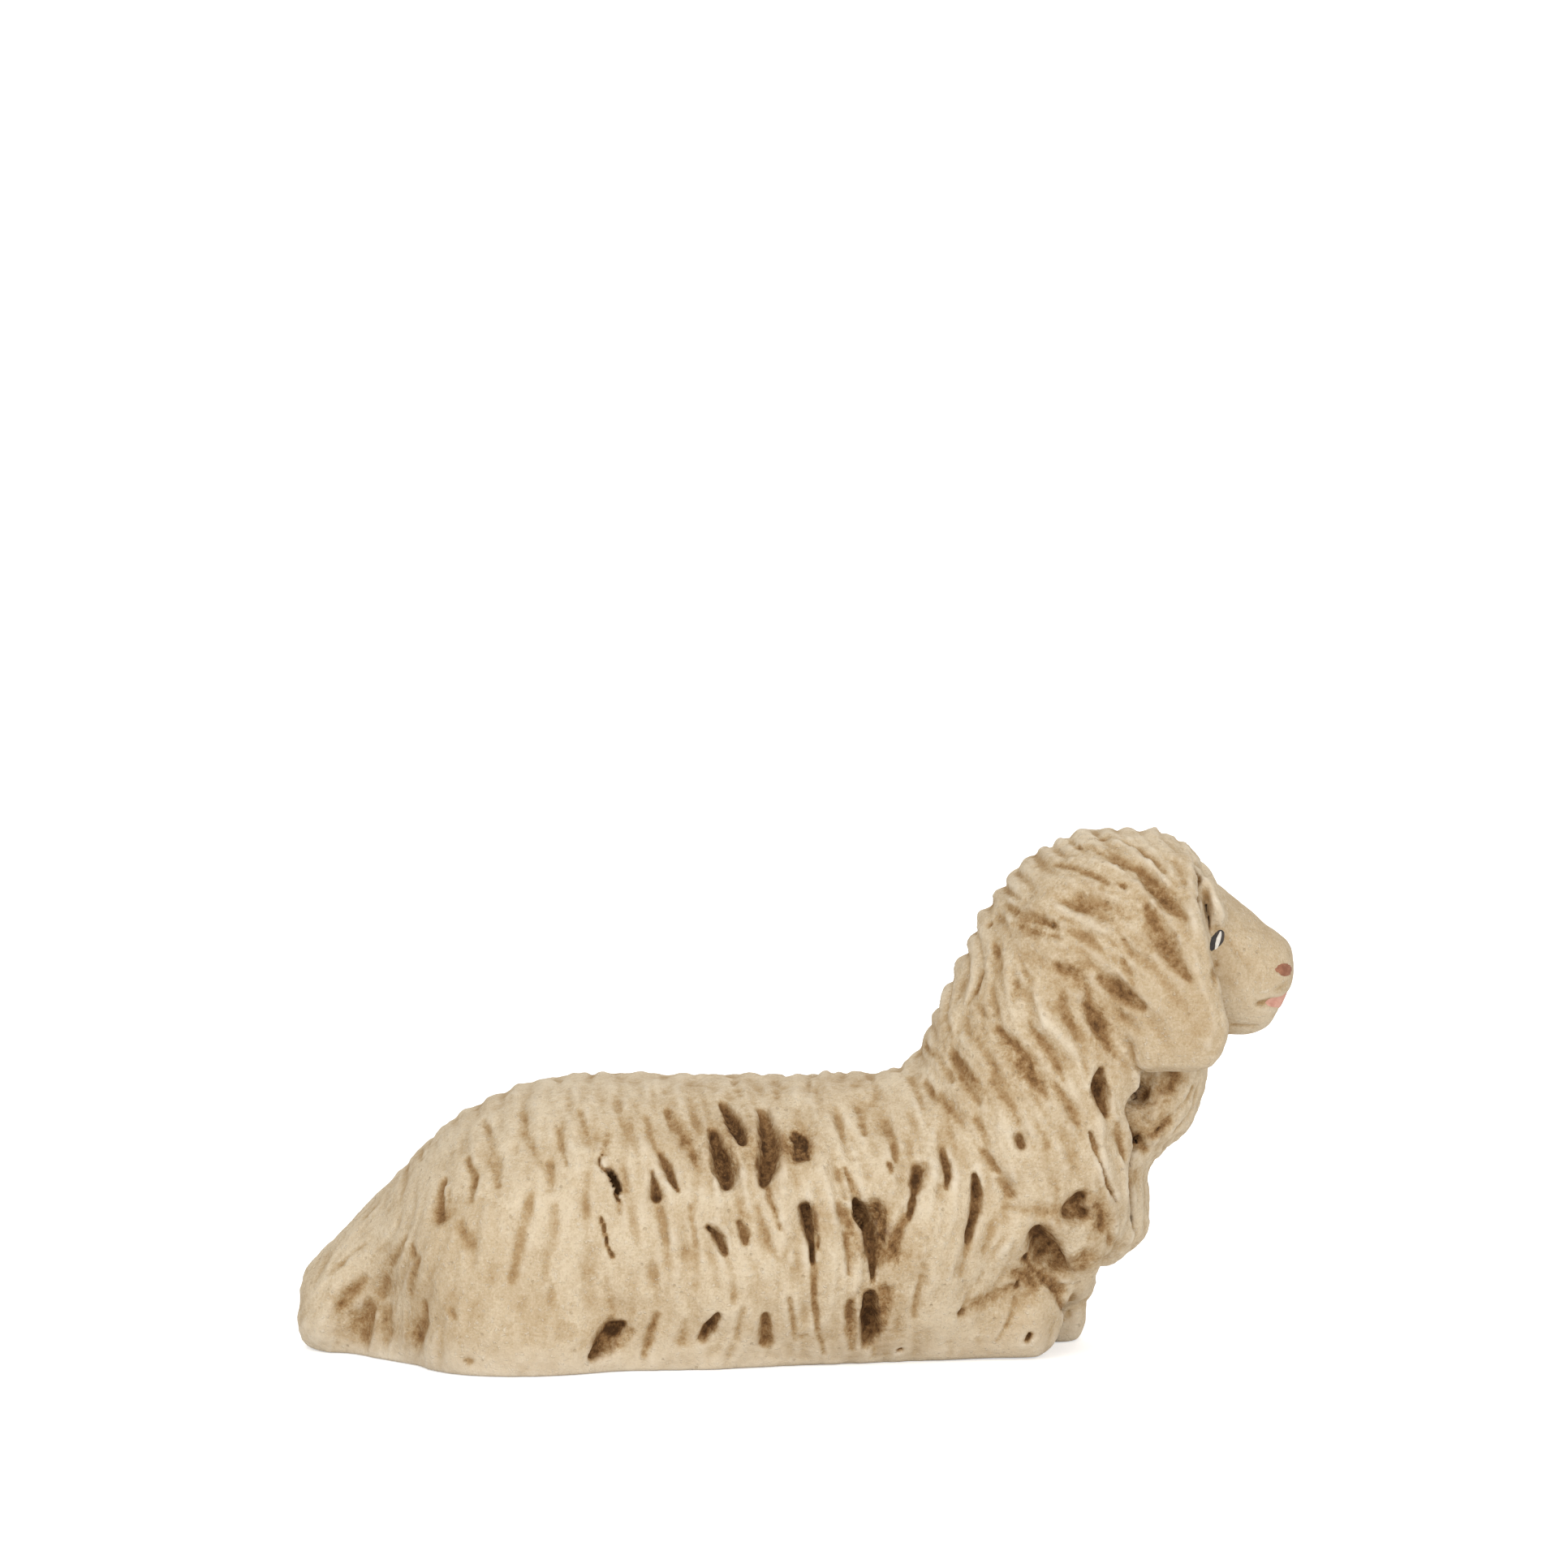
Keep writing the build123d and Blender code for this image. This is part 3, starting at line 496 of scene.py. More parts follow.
# Furrows, pits and cracks of the right side. Each row: depth, brown wash from 0 to 1, sharpness,
# and the line by pixel with its width
FURROWS = [
    # rump and tail
    (0.7, 0.55, 2, [(546, 1455, 8), (541, 1475, 10), (543, 1502, 13)]),
    (0.4, 0.40, 2, [(577, 1428, 7), (584, 1450, 9), (581, 1480, 6)]),
    (0.35, 0.30, 2, [(597, 1380, 6), (605, 1405, 9), (609, 1430, 12), (613, 1458, 8)]),
    (0.35, 0.20, 2, [(553, 1468, 5), (552, 1498, 6)]),
    (0.30, 0.30, 2, [(568, 1510, 12), (577, 1532, 12)]),
    (0.25, 0.12, 2, [(518, 1418, 10), (519, 1430, 8)]),
    (0.28, 0.22, 2, [(408, 1568, 7), (425, 1553, 5), (440, 1540, 5), (456, 1530, 3)]),
    (0.45, 0.45, 2, [(452, 1574, 7), (436, 1590, 14), (420, 1603, 14)]),
    (0.9, 0.42, 2, [(456, 1614, 18), (450, 1630, 28), (446, 1646, 20)]),
    (0.5, 0.40, 2, [(478, 1622, 20), (480, 1640, 20), (476, 1652, 12)]),
    (0.8, 0.42, 2, [(524, 1606, 8), (524, 1630, 14), (514, 1646, 26)]),
    (0.45, 0.42, 2, [(499, 1526, 9), (490, 1540, 14), (480, 1558, 14), (472, 1590, 16)]),
    (0.35, 0.32, 2, [(506, 1535, 8), (512, 1555, 10), (506, 1590, 10)]),
    (0.3, 0.25, 2, [(556, 1617, 8), (560, 1622, 8)]),
    (0.3, 0.45, 2, [(576, 1677, 7), (580, 1677, 7)]),
    # haunch
    (0.30, 0.25, 2, [(642, 1370, 8), (646, 1392, 10), (658, 1420, 7), (669, 1442, 4)]),
    (0.38, 0.35, 2, [(690, 1392, 7), (693, 1412, 7), (698, 1436, 4)]),
    (0.28, 0.22, 2, [(676, 1436, 9), (677, 1468, 7)]),
    (0.35, 0.32, 2, [(713, 1370, 7), (720, 1390, 7), (725, 1410, 10)]),
    (0.40, 0.20, 2, [(655, 1470, 8), (646, 1500, 12), (640, 1530, 12), (631, 1578, 8)]),
    (0.32, 0.17, 2, [(682, 1485, 10), (683, 1515, 12), (675, 1545, 10), (671, 1580, 6)]),
    (0.20, 0.15, 2, [(757, 1350, 7), (764, 1380, 9), (778, 1405, 7)]),
    (0.25, 0.12, 2, [(735, 1400, 8), (724, 1450, 8), (722, 1500, 6)]),
    # the torn pit and the cracks by it
    (0.7, 0.9, 2.4, [(741, 1423, 3), (737, 1435, 3), (745, 1443, 4), (753, 1443, 6)]),
    (1.9, 1.0, 4, [(752, 1443, 10), (757, 1453, 11), (762, 1467, 6)]),
    (0.8, 0.85, 3, [(760, 1466, 5), (758, 1472, 4), (762, 1479, 4)]),
    (0.5, 0.5, 2, [(766, 1443, 10), (769, 1465, 10)]),
    (0.3, 0.4, 2, [(748, 1398, 6), (745, 1420, 9)]),
    (0.35, 0.25, 2, [(763, 1480, 4), (765, 1497, 3)]),
    (0.5, 0.9, 2.4, [(740, 1500, 3), (744, 1510, 3), (746, 1522, 3), (749, 1536, 3), (754, 1548, 5)]),
    # upper flank
    (0.30, 0.18, 2, [(772, 1372, 7), (780, 1398, 8), (786, 1425, 5)]),
    (0.30, 0.22, 2, [(797, 1378, 7), (801, 1400, 8), (810, 1420, 6)]),
    (0.60, 0.55, 2, [(820, 1368, 8), (834, 1388, 14), (843, 1404, 16), (854, 1424, 12), (860, 1440, 7)]),
    (0.35, 0.15, 2, [(860, 1440, 7), (856, 1470, 9), (852, 1500, 8), (858, 1532, 6)]),
    (0.7, 0.65, 2.4, [(813, 1422, 7), (821, 1437, 12), (827, 1452, 10), (836, 1468, 5)]),
    (1.0, 0.85, 3, [(803, 1443, 4), (807, 1460, 9), (809, 1474, 13)]),
    (0.25, 0.15, 2, [(812, 1488, 7), (819, 1508, 9), (822, 1532, 6)]),
    (1.1, 0.8, 3, [(890, 1360, 8), (900, 1376, 16), (910, 1396, 16), (914, 1408, 10)]),
    (1.7, 0.95, 3, [(878, 1396, 10), (885, 1416, 20), (893, 1438, 26), (896, 1460, 16)]),
    (0.35, 0.3, 2, [(900, 1462, 8), (907, 1480, 7), (912, 1500, 6)]),
    (0.8, 0.7, 2.6, [(911, 1506, 8), (917, 1522, 12), (918, 1531, 9)]),
    (0.9, 0.95, 3, [(873, 1512, 7), (878, 1516, 7)]),
    (1.0, 0.8, 3, [(880, 1517, 12), (886, 1528, 15), (893, 1544, 8)]),
    (0.3, 0.2, 2, [(895, 1548, 6), (904, 1572, 6), (904, 1605, 5)]),
    (1.4, 0.65, 3, [(940, 1366, 12), (945, 1390, 19), (949, 1416, 20), (945, 1438, 24), (941, 1458, 12)]),
    (0.5, 0.6, 2, [(945, 1460, 6), (948, 1478, 5), (955, 1492, 5), (961, 1515, 4)]),
    (0.8, 0.6, 3, [(978, 1394, 10), (984, 1406, 20), (986, 1424, 18)]),
    (0.9, 0.85, 3, [
        (974, 1398, 3), (982, 1404, 4), (978, 1414, 3),
        (982, 1422, 3), (992, 1419, 3), (997, 1429, 3),
    ]),
    (0.9, 0.8, 3, [(984, 1396, 3), (990, 1402, 3), (992, 1412, 3)]),
    # lower flank
    (0.35, 0.25, 2, [(934, 1488, 6), (943, 1515, 8), (950, 1538, 8), (960, 1553, 4)]),
    (0.25, 0.2, 2, [(965, 1508, 5), (972, 1530, 6), (966, 1555, 4)]),
    (1.6, 0.95, 3, [(994, 1489, 17), (997, 1508, 17), (1000, 1530, 9), (1001, 1556, 5)]),
    (0.4, 0.5, 2, [(1001, 1556, 6), (1003, 1600, 5), (1008, 1640, 5), (1015, 1666, 4)]),
    (0.5, 0.6, 2.4, [(1008, 1524, 4), (1008, 1538, 3)]),
    (0.3, 0.2, 2, [(1028, 1370, 10), (1040, 1402, 14), (1046, 1425, 8)]),
    (0.3, 0.2, 2, [(1058, 1365, 7), (1066, 1398, 6)]),
    (0.3, 0.3, 2, [(1034, 1445, 8), (1041, 1475, 8)]),
    (0.55, 0.5, 2, [(1035, 1485, 8), (1045, 1505, 12), (1050, 1520, 6)]),
    (0.5, 0.45, 2, [(1042, 1520, 7), (1044, 1545, 8), (1045, 1568, 6)]),
    (0.7, 0.55, 2, [(1042, 1440, 5), (1052, 1468, 8), (1060, 1484, 12)]),
    (2.6, 1.0, 3, [(1056, 1478, 9), (1066, 1496, 22), (1073, 1520, 18), (1075, 1548, 10), (1075, 1578, 4)]),
    (1.1, 0.8, 2, [(1078, 1488, 14), (1083, 1510, 14), (1082, 1540, 12)]),
    (0.7, 0.55, 2, [(1086, 1550, 16), (1098, 1544, 18), (1104, 1524, 12), (1113, 1508, 8), (1120, 1498, 6)]),
    (1.9, 0.95, 3, [(1072, 1598, 14), (1072, 1622, 20), (1072, 1645, 20), (1068, 1656, 12)]),
    (0.8, 0.6, 2, [(1048, 1605, 8), (1048, 1638, 13), (1050, 1660, 7)]),
    (0.6, 0.55, 2, [(1090, 1590, 14), (1088, 1625, 10), (1082, 1642, 8)]),
    # along the ground
    (1.4, 0.9, 3, [(766, 1634, 12), (754, 1640, 24), (744, 1658, 24), (732, 1672, 12)]),
    (0.7, 0.5, 2, [(775, 1640, 8), (762, 1655, 16)]),
    (0.5, 0.5, 2, [(810, 1620, 6), (803, 1636, 9), (799, 1652, 11), (793, 1669, 6)]),
    (0.3, 0.3, 2, [(844, 1628, 7), (839, 1652, 11)]),
    (1.0, 0.85, 3, [(884, 1622, 8), (874, 1636, 15), (866, 1650, 12)]),
    (0.7, 0.6, 2.6, [(943, 1624, 9), (943, 1640, 15), (944, 1654, 16)]),
    (0.3, 0.25, 2, [(916, 1615, 7), (908, 1645, 8), (898, 1666, 10)]),
    (0.3, 0.35, 2, [(972, 1598, 5), (977, 1625, 5), (980, 1651, 4)]),
    (0.3, 0.3, 2, [(985, 1648, 6), (995, 1643, 4)]),
    (0.6, 1.0, 3, [(1107, 1661, 5), (1110, 1662, 5)]),
    # shoulder
    (0.45, 0.35, 2, [(1090, 1380, 8), (1100, 1405, 10), (1104, 1430, 6)]),
    (0.4, 0.6, 2.4, [(1096, 1434, 6), (1098, 1446, 5)]),
    (0.3, 0.25, 2, [(1120, 1330, 8), (1136, 1362, 8), (1146, 1390, 5)]),
    (1.0, 0.75, 2.6, [(1134, 1440, 16), (1130, 1458, 15), (1126, 1474, 8), (1120, 1500, 5)]),
    (0.55, 0.65, 2.4, [(1160, 1416, 4), (1166, 1436, 8), (1169, 1450, 8), (1166, 1464, 5)]),
    (0.9, 0.75, 2.6, [(1200, 1448, 6), (1204, 1472, 12), (1203, 1492, 12), (1197, 1508, 9), (1192, 1532, 5)]),
    (0.3, 0.2, 2, [(1192, 1535, 6), (1184, 1572, 5)]),
    (0.45, 0.4, 2, [(1210, 1418, 7), (1220, 1430, 8), (1230, 1444, 5)]),
    (0.35, 0.4, 2, [(1232, 1455, 8), (1244, 1470, 11)]),
    (0.8, 0.65, 3, [(1254, 1403, 12), (1257, 1411, 12)]),
    (0.3, 0.25, 2, [(1288, 1398, 7), (1292, 1412, 6)]),
    (0.2, 0.2, 2, [(1236, 1488, 8), (1270, 1492, 12), (1302, 1492, 12)]),
    (1.4, 0.62, 2.6, [(1332, 1478, 20), (1322, 1492, 26), (1336, 1498, 20)]),
    (0.6, 0.45, 2, [(1350, 1490, 16), (1356, 1510, 14)]),
    (0.25, 0.12, 2, [(1225, 1590, 6), (1240, 1560, 6), (1252, 1530, 5)]),
    (0.3, 0.12, 2, [(1205, 1580, 6), (1222, 1548, 7), (1240, 1522, 5)]),
    (0.4, 0.40, 2, [(1184, 1619, 10), (1198, 1608, 14), (1222, 1596, 12), (1246, 1584, 9)]),
    (0.7, 0.8, 3, [(1184, 1619, 8), (1188, 1617, 7)]),
    (0.25, 0.22, 2, [(1250, 1598, 4), (1246, 1620, 4), (1236, 1640, 4), (1228, 1652, 3)]),
    (0.6, 0.95, 3, [(1265, 1651, 6), (1269, 1645, 6)]),
    (0.4, 0.6, 2.4, [(1251, 1587, 5), (1254, 1581, 5)]),
    (0.25, 0.25, 2, [(1134, 1572, 4), (1129, 1600, 5), (1126, 1622, 6)]),
    # hollow between the breast and the knee
    (1.7, 0.75, 2.4, [(1280, 1522, 24), (1290, 1546, 34), (1306, 1570, 24)]),
    (1.0, 0.9, 2, [(1268, 1550, 14), (1284, 1572, 12), (1306, 1590, 12)]),
    (0.6, 0.55, 2, [(1253, 1570, 12), (1275, 1576, 18)]),
    (0.5, 0.5, 2, [(1322, 1560, 24), (1335, 1548, 18)]),
    (0.5, 0.5, 2, [(1300, 1590, 7), (1308, 1610, 7), (1310, 1626, 4)]),
    (0.3, 0.3, 2, [(1322, 1598, 7), (1316, 1622, 5)]),
    # neck
    (0.45, 0.35, 2, [(1140, 1288, 9), (1156, 1302, 8), (1172, 1330, 7)]),
    (0.7, 0.5, 2, [(1172, 1298, 9), (1186, 1318, 14), (1196, 1336, 16), (1206, 1356, 8)]),
    (0.35, 0.25, 2, [(1140, 1335, 8), (1160, 1356, 9), (1186, 1388, 5)]),
    (0.35, 0.28, 2, [(1202, 1380, 9), (1212, 1400, 10), (1218, 1414, 5)]),
    (0.9, 0.6, 2, [(1228, 1268, 7), (1246, 1290, 16), (1260, 1310, 20), (1278, 1332, 14), (1290, 1352, 7)]),
    (0.4, 0.25, 2, [(1222, 1330, 7), (1242, 1356, 10), (1256, 1382, 6)]),
    (0.45, 0.4, 2, [(1298, 1335, 7), (1312, 1356, 12), (1322, 1374, 10), (1328, 1386, 5)]),
    (0.4, 0.25, 2, [(1268, 1262, 7), (1284, 1282, 8), (1302, 1312, 8), (1310, 1330, 5)]),
    (1.3, 0.85, 2.8, [(1356, 1320, 10), (1355, 1340, 20), (1359, 1360, 14), (1364, 1376, 6)]),
    (0.4, 0.3, 2, [(1334, 1306, 5), (1341, 1330, 6)]),
    (0.6, 0.5, 2, [(1374, 1382, 5), (1379, 1402, 8), (1384, 1428, 5)]),
    (0.4, 0.3, 2.2, [(1344, 1394, 4), (1354, 1428, 4), (1365, 1460, 5), (1375, 1482, 4)]),
    (0.35, 0.3, 2, [(1308, 1232, 9), (1315, 1256, 10), (1326, 1280, 6)]),
    (0.8, 0.55, 2, [(1336, 1236, 7), (1350, 1254, 16), (1360, 1274, 14), (1374, 1300, 8)]),
    (0.8, 0.55, 2, [(1356, 1206, 8), (1376, 1218, 14), (1392, 1229, 15), (1408, 1241, 8)]),
    (0.65, 0.45, 2, [(1306, 1192, 10), (1325, 1202, 16), (1338, 1220, 12), (1344, 1240, 6)]),
    (0.35, 0.25, 2, [(1248, 1196, 7), (1252, 1216, 9), (1250, 1240, 5)]),
    (0.3, 0.2, 2, [(1262, 1196, 5), (1272, 1210, 6)]),
    (0.35, 0.22, 2, [(1212, 1198, 7), (1202, 1222, 7), (1194, 1236, 4)]),
    (0.3, 0.2, 2, [(1206, 1240, 6), (1220, 1262, 6), (1226, 1276, 4)]),
    (0.7, 0.45, 2, [(1240, 1116, 8), (1262, 1130, 12), (1284, 1136, 13), (1300, 1142, 8)]),
    (0.5, 0.40, 2, [(1250, 1138, 8), (1272, 1146, 12), (1302, 1154, 8)]),
    (0.3, 0.30, 2, [(1226, 1166, 6), (1230, 1176, 6)]),
    (0.3, 0.22, 2, [(1320, 1148, 8), (1342, 1155, 10), (1356, 1170, 5)]),
    # hood
    (0.45, 0.35, 2, [(1300, 1066, 6), (1330, 1072, 8), (1352, 1082, 9), (1364, 1088, 5)]),
    (0.5, 0.35, 2, [(1336, 1044, 8), (1360, 1052, 13), (1384, 1064, 13), (1404, 1076, 6)]),
    (0.35, 0.3, 2, [(1345, 1036, 6), (1364, 1031, 8), (1376, 1036, 5)]),
    (0.35, 0.30, 2, [(1304, 1106, 8), (1330, 1116, 14), (1362, 1122, 18), (1392, 1132, 12)]),
    (0.5, 0.28, 2, [(1384, 1038, 7), (1402, 1046, 10), (1420, 1060, 10), (1434, 1076, 6)]),
    (0.9, 0.5, 2, [(1402, 1072, 8), (1418, 1088, 15), (1430, 1104, 18), (1450, 1120, 12), (1464, 1134, 5)]),
    (0.9, 0.5, 2, [(1414, 1118, 8), (1424, 1140, 18), (1434, 1160, 19), (1448, 1184, 14), (1466, 1206, 7)]),
    (0.3, 0.15, 2, [(1446, 1062, 8), (1458, 1090, 9), (1464, 1110, 5)]),
    (0.3, 0.25, 2, [(1384, 1182, 6), (1392, 1200, 7), (1398, 1212, 4)]),
    (0.25, 0.15, 2, [(1372, 1140, 6), (1386, 1160, 7), (1394, 1180, 4)]),
    (0.4, 0.6, 3, [(1382, 1092, 7), (1386, 1094, 6)]),
    (0.3, 0.4, 3, [(1328, 1043, 6), (1332, 1045, 5)]),
    (0.3, 0.4, 3, [(1448, 1151, 4), (1450, 1153, 4)]),
    (0.3, 0.3, 3, [(1383, 1156, 4), (1386, 1159, 4)]),
    (0.3, 0.3, 3, [(1219, 1143, 5), (1222, 1139, 4)]),
    # face, between the rim of the hood and the brow, and the jaw
    (0.7, 0.4, 2.2, [(1469, 1058, 5), (1476, 1085, 8), (1479, 1112, 9), (1484, 1140, 6)]),
    (0.35, 0.35, 2, [(1498, 1188, 5), (1494, 1200, 7), (1498, 1214, 4)]),
    (0.28, 0.22, 2, [(1522, 1264, 6), (1546, 1264, 6)]),
    (0.12, 0.08, 2, [(1520, 1148, 4), (1540, 1145, 4), (1556, 1150, 3)]),
    (0.8, 0.1, 2, [(1550, 1237, 5), (1564, 1236, 8), (1574, 1235, 10)]),
    (0.3, 0.1, 2, [(1583, 1215, 8), (1574, 1219, 6)]),
    # breast, beside and under the ear
    (2.6, 0.8, 2.6, [
        (1406, 1326, 13), (1401, 1346, 20), (1396, 1364, 20),
        (1398, 1386, 16), (1400, 1410, 14),
    ]),
    (2.0, 0.75, 2.6, [(1396, 1420, 10), (1393, 1442, 14), (1391, 1466, 9), (1394, 1490, 8), (1398, 1512, 6)]),
    (0.7, 0.5, 2, [(1446, 1322, 10), (1456, 1328, 14), (1446, 1336, 10)]),
    (0.5, 0.5, 2, [(1426, 1396, 12), (1436, 1386, 14), (1442, 1376, 8)]),
    (0.6, 0.8, 3, [(1428, 1395, 4), (1436, 1390, 3)]),
    (0.5, 0.6, 2, [(1405, 1412, 9), (1412, 1418, 8)]),
    (0.3, 0.25, 2, [(1470, 1340, 5), (1462, 1356, 6), (1452, 1366, 4)]),
    (0.3, 0.25, 2, [(1458, 1382, 4), (1448, 1394, 5)]),
    (0.35, 0.35, 2, [(1368, 1528, 12), (1380, 1536, 12)]),
]
# Raised edges and locks. Each row: height and the line
LOCKS = [
    (0.40, [(1460, 1045, 6), (1466, 1066, 8), (1465, 1100, 8), (1470, 1138, 8), (1473, 1180, 8)]),
    (0.35, [(1473, 1180, 8), (1482, 1218, 8), (1493, 1244, 8), (1496, 1264, 8), (1488, 1288, 8)]),
    (0.30, [(1486, 1084, 5), (1496, 1108, 7), (1506, 1127, 7), (1504, 1140, 5)]),
    (0.35, [(1405, 1022, 4), (1425, 1032, 7), (1441, 1046, 7), (1454, 1062, 4)]),
    (0.35, [(1372, 1038, 5), (1396, 1047, 8), (1416, 1062, 8), (1434, 1082, 7), (1442, 1096, 4)]),
    (0.35, [(1380, 1080, 5), (1402, 1090, 8), (1424, 1112, 9), (1444, 1134, 7), (1456, 1160, 4)]),
    (0.30, [(1310, 1058, 5), (1345, 1060, 8), (1372, 1070, 8), (1390, 1084, 5)]),
    (0.30, [(1305, 1120, 6), (1330, 1130, 9), (1362, 1148, 8)]),
    (0.35, [(1286, 1160, 8), (1320, 1172, 14), (1356, 1186, 14), (1390, 1206, 7)]),
    (0.35, [(1228, 1300, 6), (1240, 1322, 10), (1262, 1350, 10), (1276, 1378, 6)]),
    (0.35, [(1196, 1290, 6), (1216, 1318, 10), (1232, 1344, 8)]),
    (0.35, [(1276, 1230, 7), (1290, 1262, 12), (1310, 1296, 10), (1322, 1330, 6)]),
    (0.30, [(1330, 1226, 5), (1340, 1270, 9), (1346, 1300, 8), (1342, 1340, 5)]),
    (0.35, [(1366, 1340, 5), (1374, 1376, 8), (1380, 1400, 5)]),
    (0.40, [(1382, 1424, 5), (1385, 1460, 8), (1388, 1500, 7)]),
    (0.30, [(1290, 1340, 6), (1300, 1376, 12), (1320, 1420, 12), (1336, 1450, 8)]),
    (0.35, [(1230, 1390, 6), (1240, 1430, 12), (1250, 1450, 8)]),
    (0.35, [(868, 1380, 5), (872, 1420, 10), (880, 1456, 10), (892, 1490, 7)]),
    (0.40, [(880, 1352, 5), (892, 1392, 8), (908, 1424, 10), (918, 1456, 9), (922, 1490, 6)]),
    (0.40, [(922, 1366, 6), (928, 1400, 12), (926, 1430, 12), (930, 1460, 10), (942, 1500, 8)]),
    (0.40, [(962, 1396, 6), (966, 1430, 10), (962, 1456, 12), (966, 1500, 12), (975, 1550, 10)]),
    (0.30, [(1006, 1390, 8), (1014, 1430, 14), (1020, 1480, 14), (1026, 1530, 12), (1026, 1580, 10)]),
    (0.40, [(1046, 1480, 5), (1058, 1520, 12), (1060, 1560, 12), (1052, 1590, 8)]),
    (0.40, [(1080, 1400, 6), (1096, 1450, 14), (1102, 1490, 14), (1092, 1512, 8)]),
    (0.30, [(1142, 1400, 8), (1150, 1450, 16), (1146, 1500, 18), (1130, 1550, 14)]),
    (0.30, [(1180, 1400, 8), (1186, 1450, 14), (1180, 1500, 14), (1166, 1560, 12)]),
    (0.25, [(840, 1420, 8), (842, 1470, 14), (838, 1530, 14)]),
    (0.25, [(790, 1400, 7), (796, 1450, 10), (792, 1500, 10)]),
    (0.25, [(700, 1380, 8), (710, 1440, 14), (704, 1520, 16)]),
    (0.25, [(620, 1400, 8), (634, 1450, 14), (622, 1520, 14)]),
    (0.25, [(662, 1480, 7), (656, 1530, 12), (648, 1590, 10)]),
    (0.35, [(498, 1545, 4), (492, 1575, 9), (486, 1602, 6)]),
    (0.30, [(428, 1616, 5), (446, 1604, 8), (456, 1592, 5)]),
    (0.30, [(464, 1620, 5), (462, 1650, 7)]),
    (0.30, [(498, 1615, 5), (500, 1650, 7)]),
    (0.30, [(550, 1462, 3), (552, 1494, 5)]),
    (0.25, [(700, 1660, 5), (716, 1648, 6)]),
]

LEFT_SHARE = 0.8  # of the furrows, the left side has so many
LEFT_SHIFT = 0.9  # and each lies about so far from its place on the right side
for row in FURROWS:
    draw(row)
    if random.random() < LEFT_SHARE:
        shift = random.normal(0, LEFT_SHIFT, 2)
        draw(row, 1, shift, random.uniform(0.6, 1.0))
for high, line in LOCKS:
    for side in (-1, 1):
        draw((-high, 0, 2, line), side)

# Way that the wool runs, seen from the right. Each row: pixel, lean from upright in degrees
# with the lower end forward, and strength of the strands
FLOW = [
    (500, 1450, -12, 0.5), (560, 1400, 6, 0.6), (640, 1380, 12, 0.7), (640, 1480, -4, 0.5),
    (620, 1590, -8, 0.25), (700, 1370, 14, 0.8), (700, 1480, 0, 0.5), (700, 1600, 0, 0.2),
    (800, 1370, 20, 0.9), (800, 1450, 12, 0.9), (800, 1550, 8, 0.5), (800, 1640, -14, 0.4),
    (900, 1370, 20, 1.0), (900, 1450, 14, 1.0), (900, 1550, 10, 0.7), (900, 1640, -12, 0.5),
    (1000, 1370, 14, 1.0), (1000, 1450, 10, 1.0), (1000, 1550, 3, 0.8), (1000, 1640, 0, 0.6),
    (1050, 1400, 18, 1.0), (1060, 1500, 16, 1.0), (1080, 1600, 0, 0.8), (1110, 1500, -22, 0.9),
    (1150, 1400, 12, 1.0), (1150, 1480, -10, 0.9), (1150, 1560, -14, 0.7), (1200, 1400, 24, 0.9),
    (1200, 1480, -4, 0.8), (1200, 1560, -20, 0.6), (1250, 1540, -34, 0.5), (1230, 1630, -10, 0.1),
    (1140, 1330, 30, 1.0), (1180, 1320, 30, 1.0), (1250, 1380, 26, 1.0), (1310, 1380, 24, 0.9),
    (1290, 1440, 18, 0.8), (1340, 1440, 12, 0.8), (1360, 1400, 18, 0.8), (1240, 1290, 36, 1.0),
    (1300, 1300, 32, 1.0), (1350, 1300, 24, 0.8), (1195, 1220, -18, 0.9), (1230, 1180, 8, 0.9),
    (1260, 1220, 20, 1.0), (1330, 1230, 38, 1.0), (1390, 1230, 54, 0.9), (1260, 1100, 60, 1.0),
    (1280, 1150, 62, 1.0), (1340, 1170, 58, 1.0), (1400, 1200, 50, 0.8), (1290, 1050, 64, 1.0),
    (1330, 1080, 70, 1.0), (1330, 1120, 72, 1.0), (1390, 1060, 62, 1.0), (1430, 1060, 50, 0.9),
    (1440, 1130, 42, 0.6), (1440, 1180, 32, 0.4), (1440, 1350, -18, 0.8), (1450, 1390, -30, 0.8),
    (1405, 1450, 0, 0.8), (1405, 1500, 6, 0.8), (450, 1500, -44, 0.6), (400, 1580, -32, 0.6),
    (500, 1560, -20, 0.5), (480, 1620, -6, 0.4),
]
flow_places = seen(base, [row[:2] for row in FLOW])[:, [0, 2]]
flow_leans = np.radians([row[2] for row in FLOW])
flow_strengths = np.array([row[3] for row in FLOW])
FLOW_BLUR = 1.5


def flow(points):
    """Lean and strength of the wool at points, from the nearest rows of the table."""
    gaps = ((points[:, None, [0, 2]] - flow_places) ** 2).sum(-1)
    weights = 1 / (gaps + FLOW_BLUR) ** 2
    weights /= weights.sum(1, keepdims=True)
    lean = np.arctan2(weights @ np.sin(flow_leans), weights @ np.cos(flow_leans))
    return lean, weights @ flow_strengths


def along_wool(out, lean):
    """The way that wool with that lean runs over a surface, given how the surface faces."""
    return np.cross(out, np.stack([-np.cos(lean), np.zeros(len(lean)), -np.sin(lean)], 1))


def trace(points, sides, step, count):
    """Lines that follow the wool over the surface from points, count steps down the flank."""
    lines = [points]
    for _ in range(count):
        way = along_wool(facing(base, points), flow(points)[0]) * -sides[:, None]
        points = settle(base, points + unit(way) * step, 2)
        lines.append(points)
    return np.stack(lines, 1)


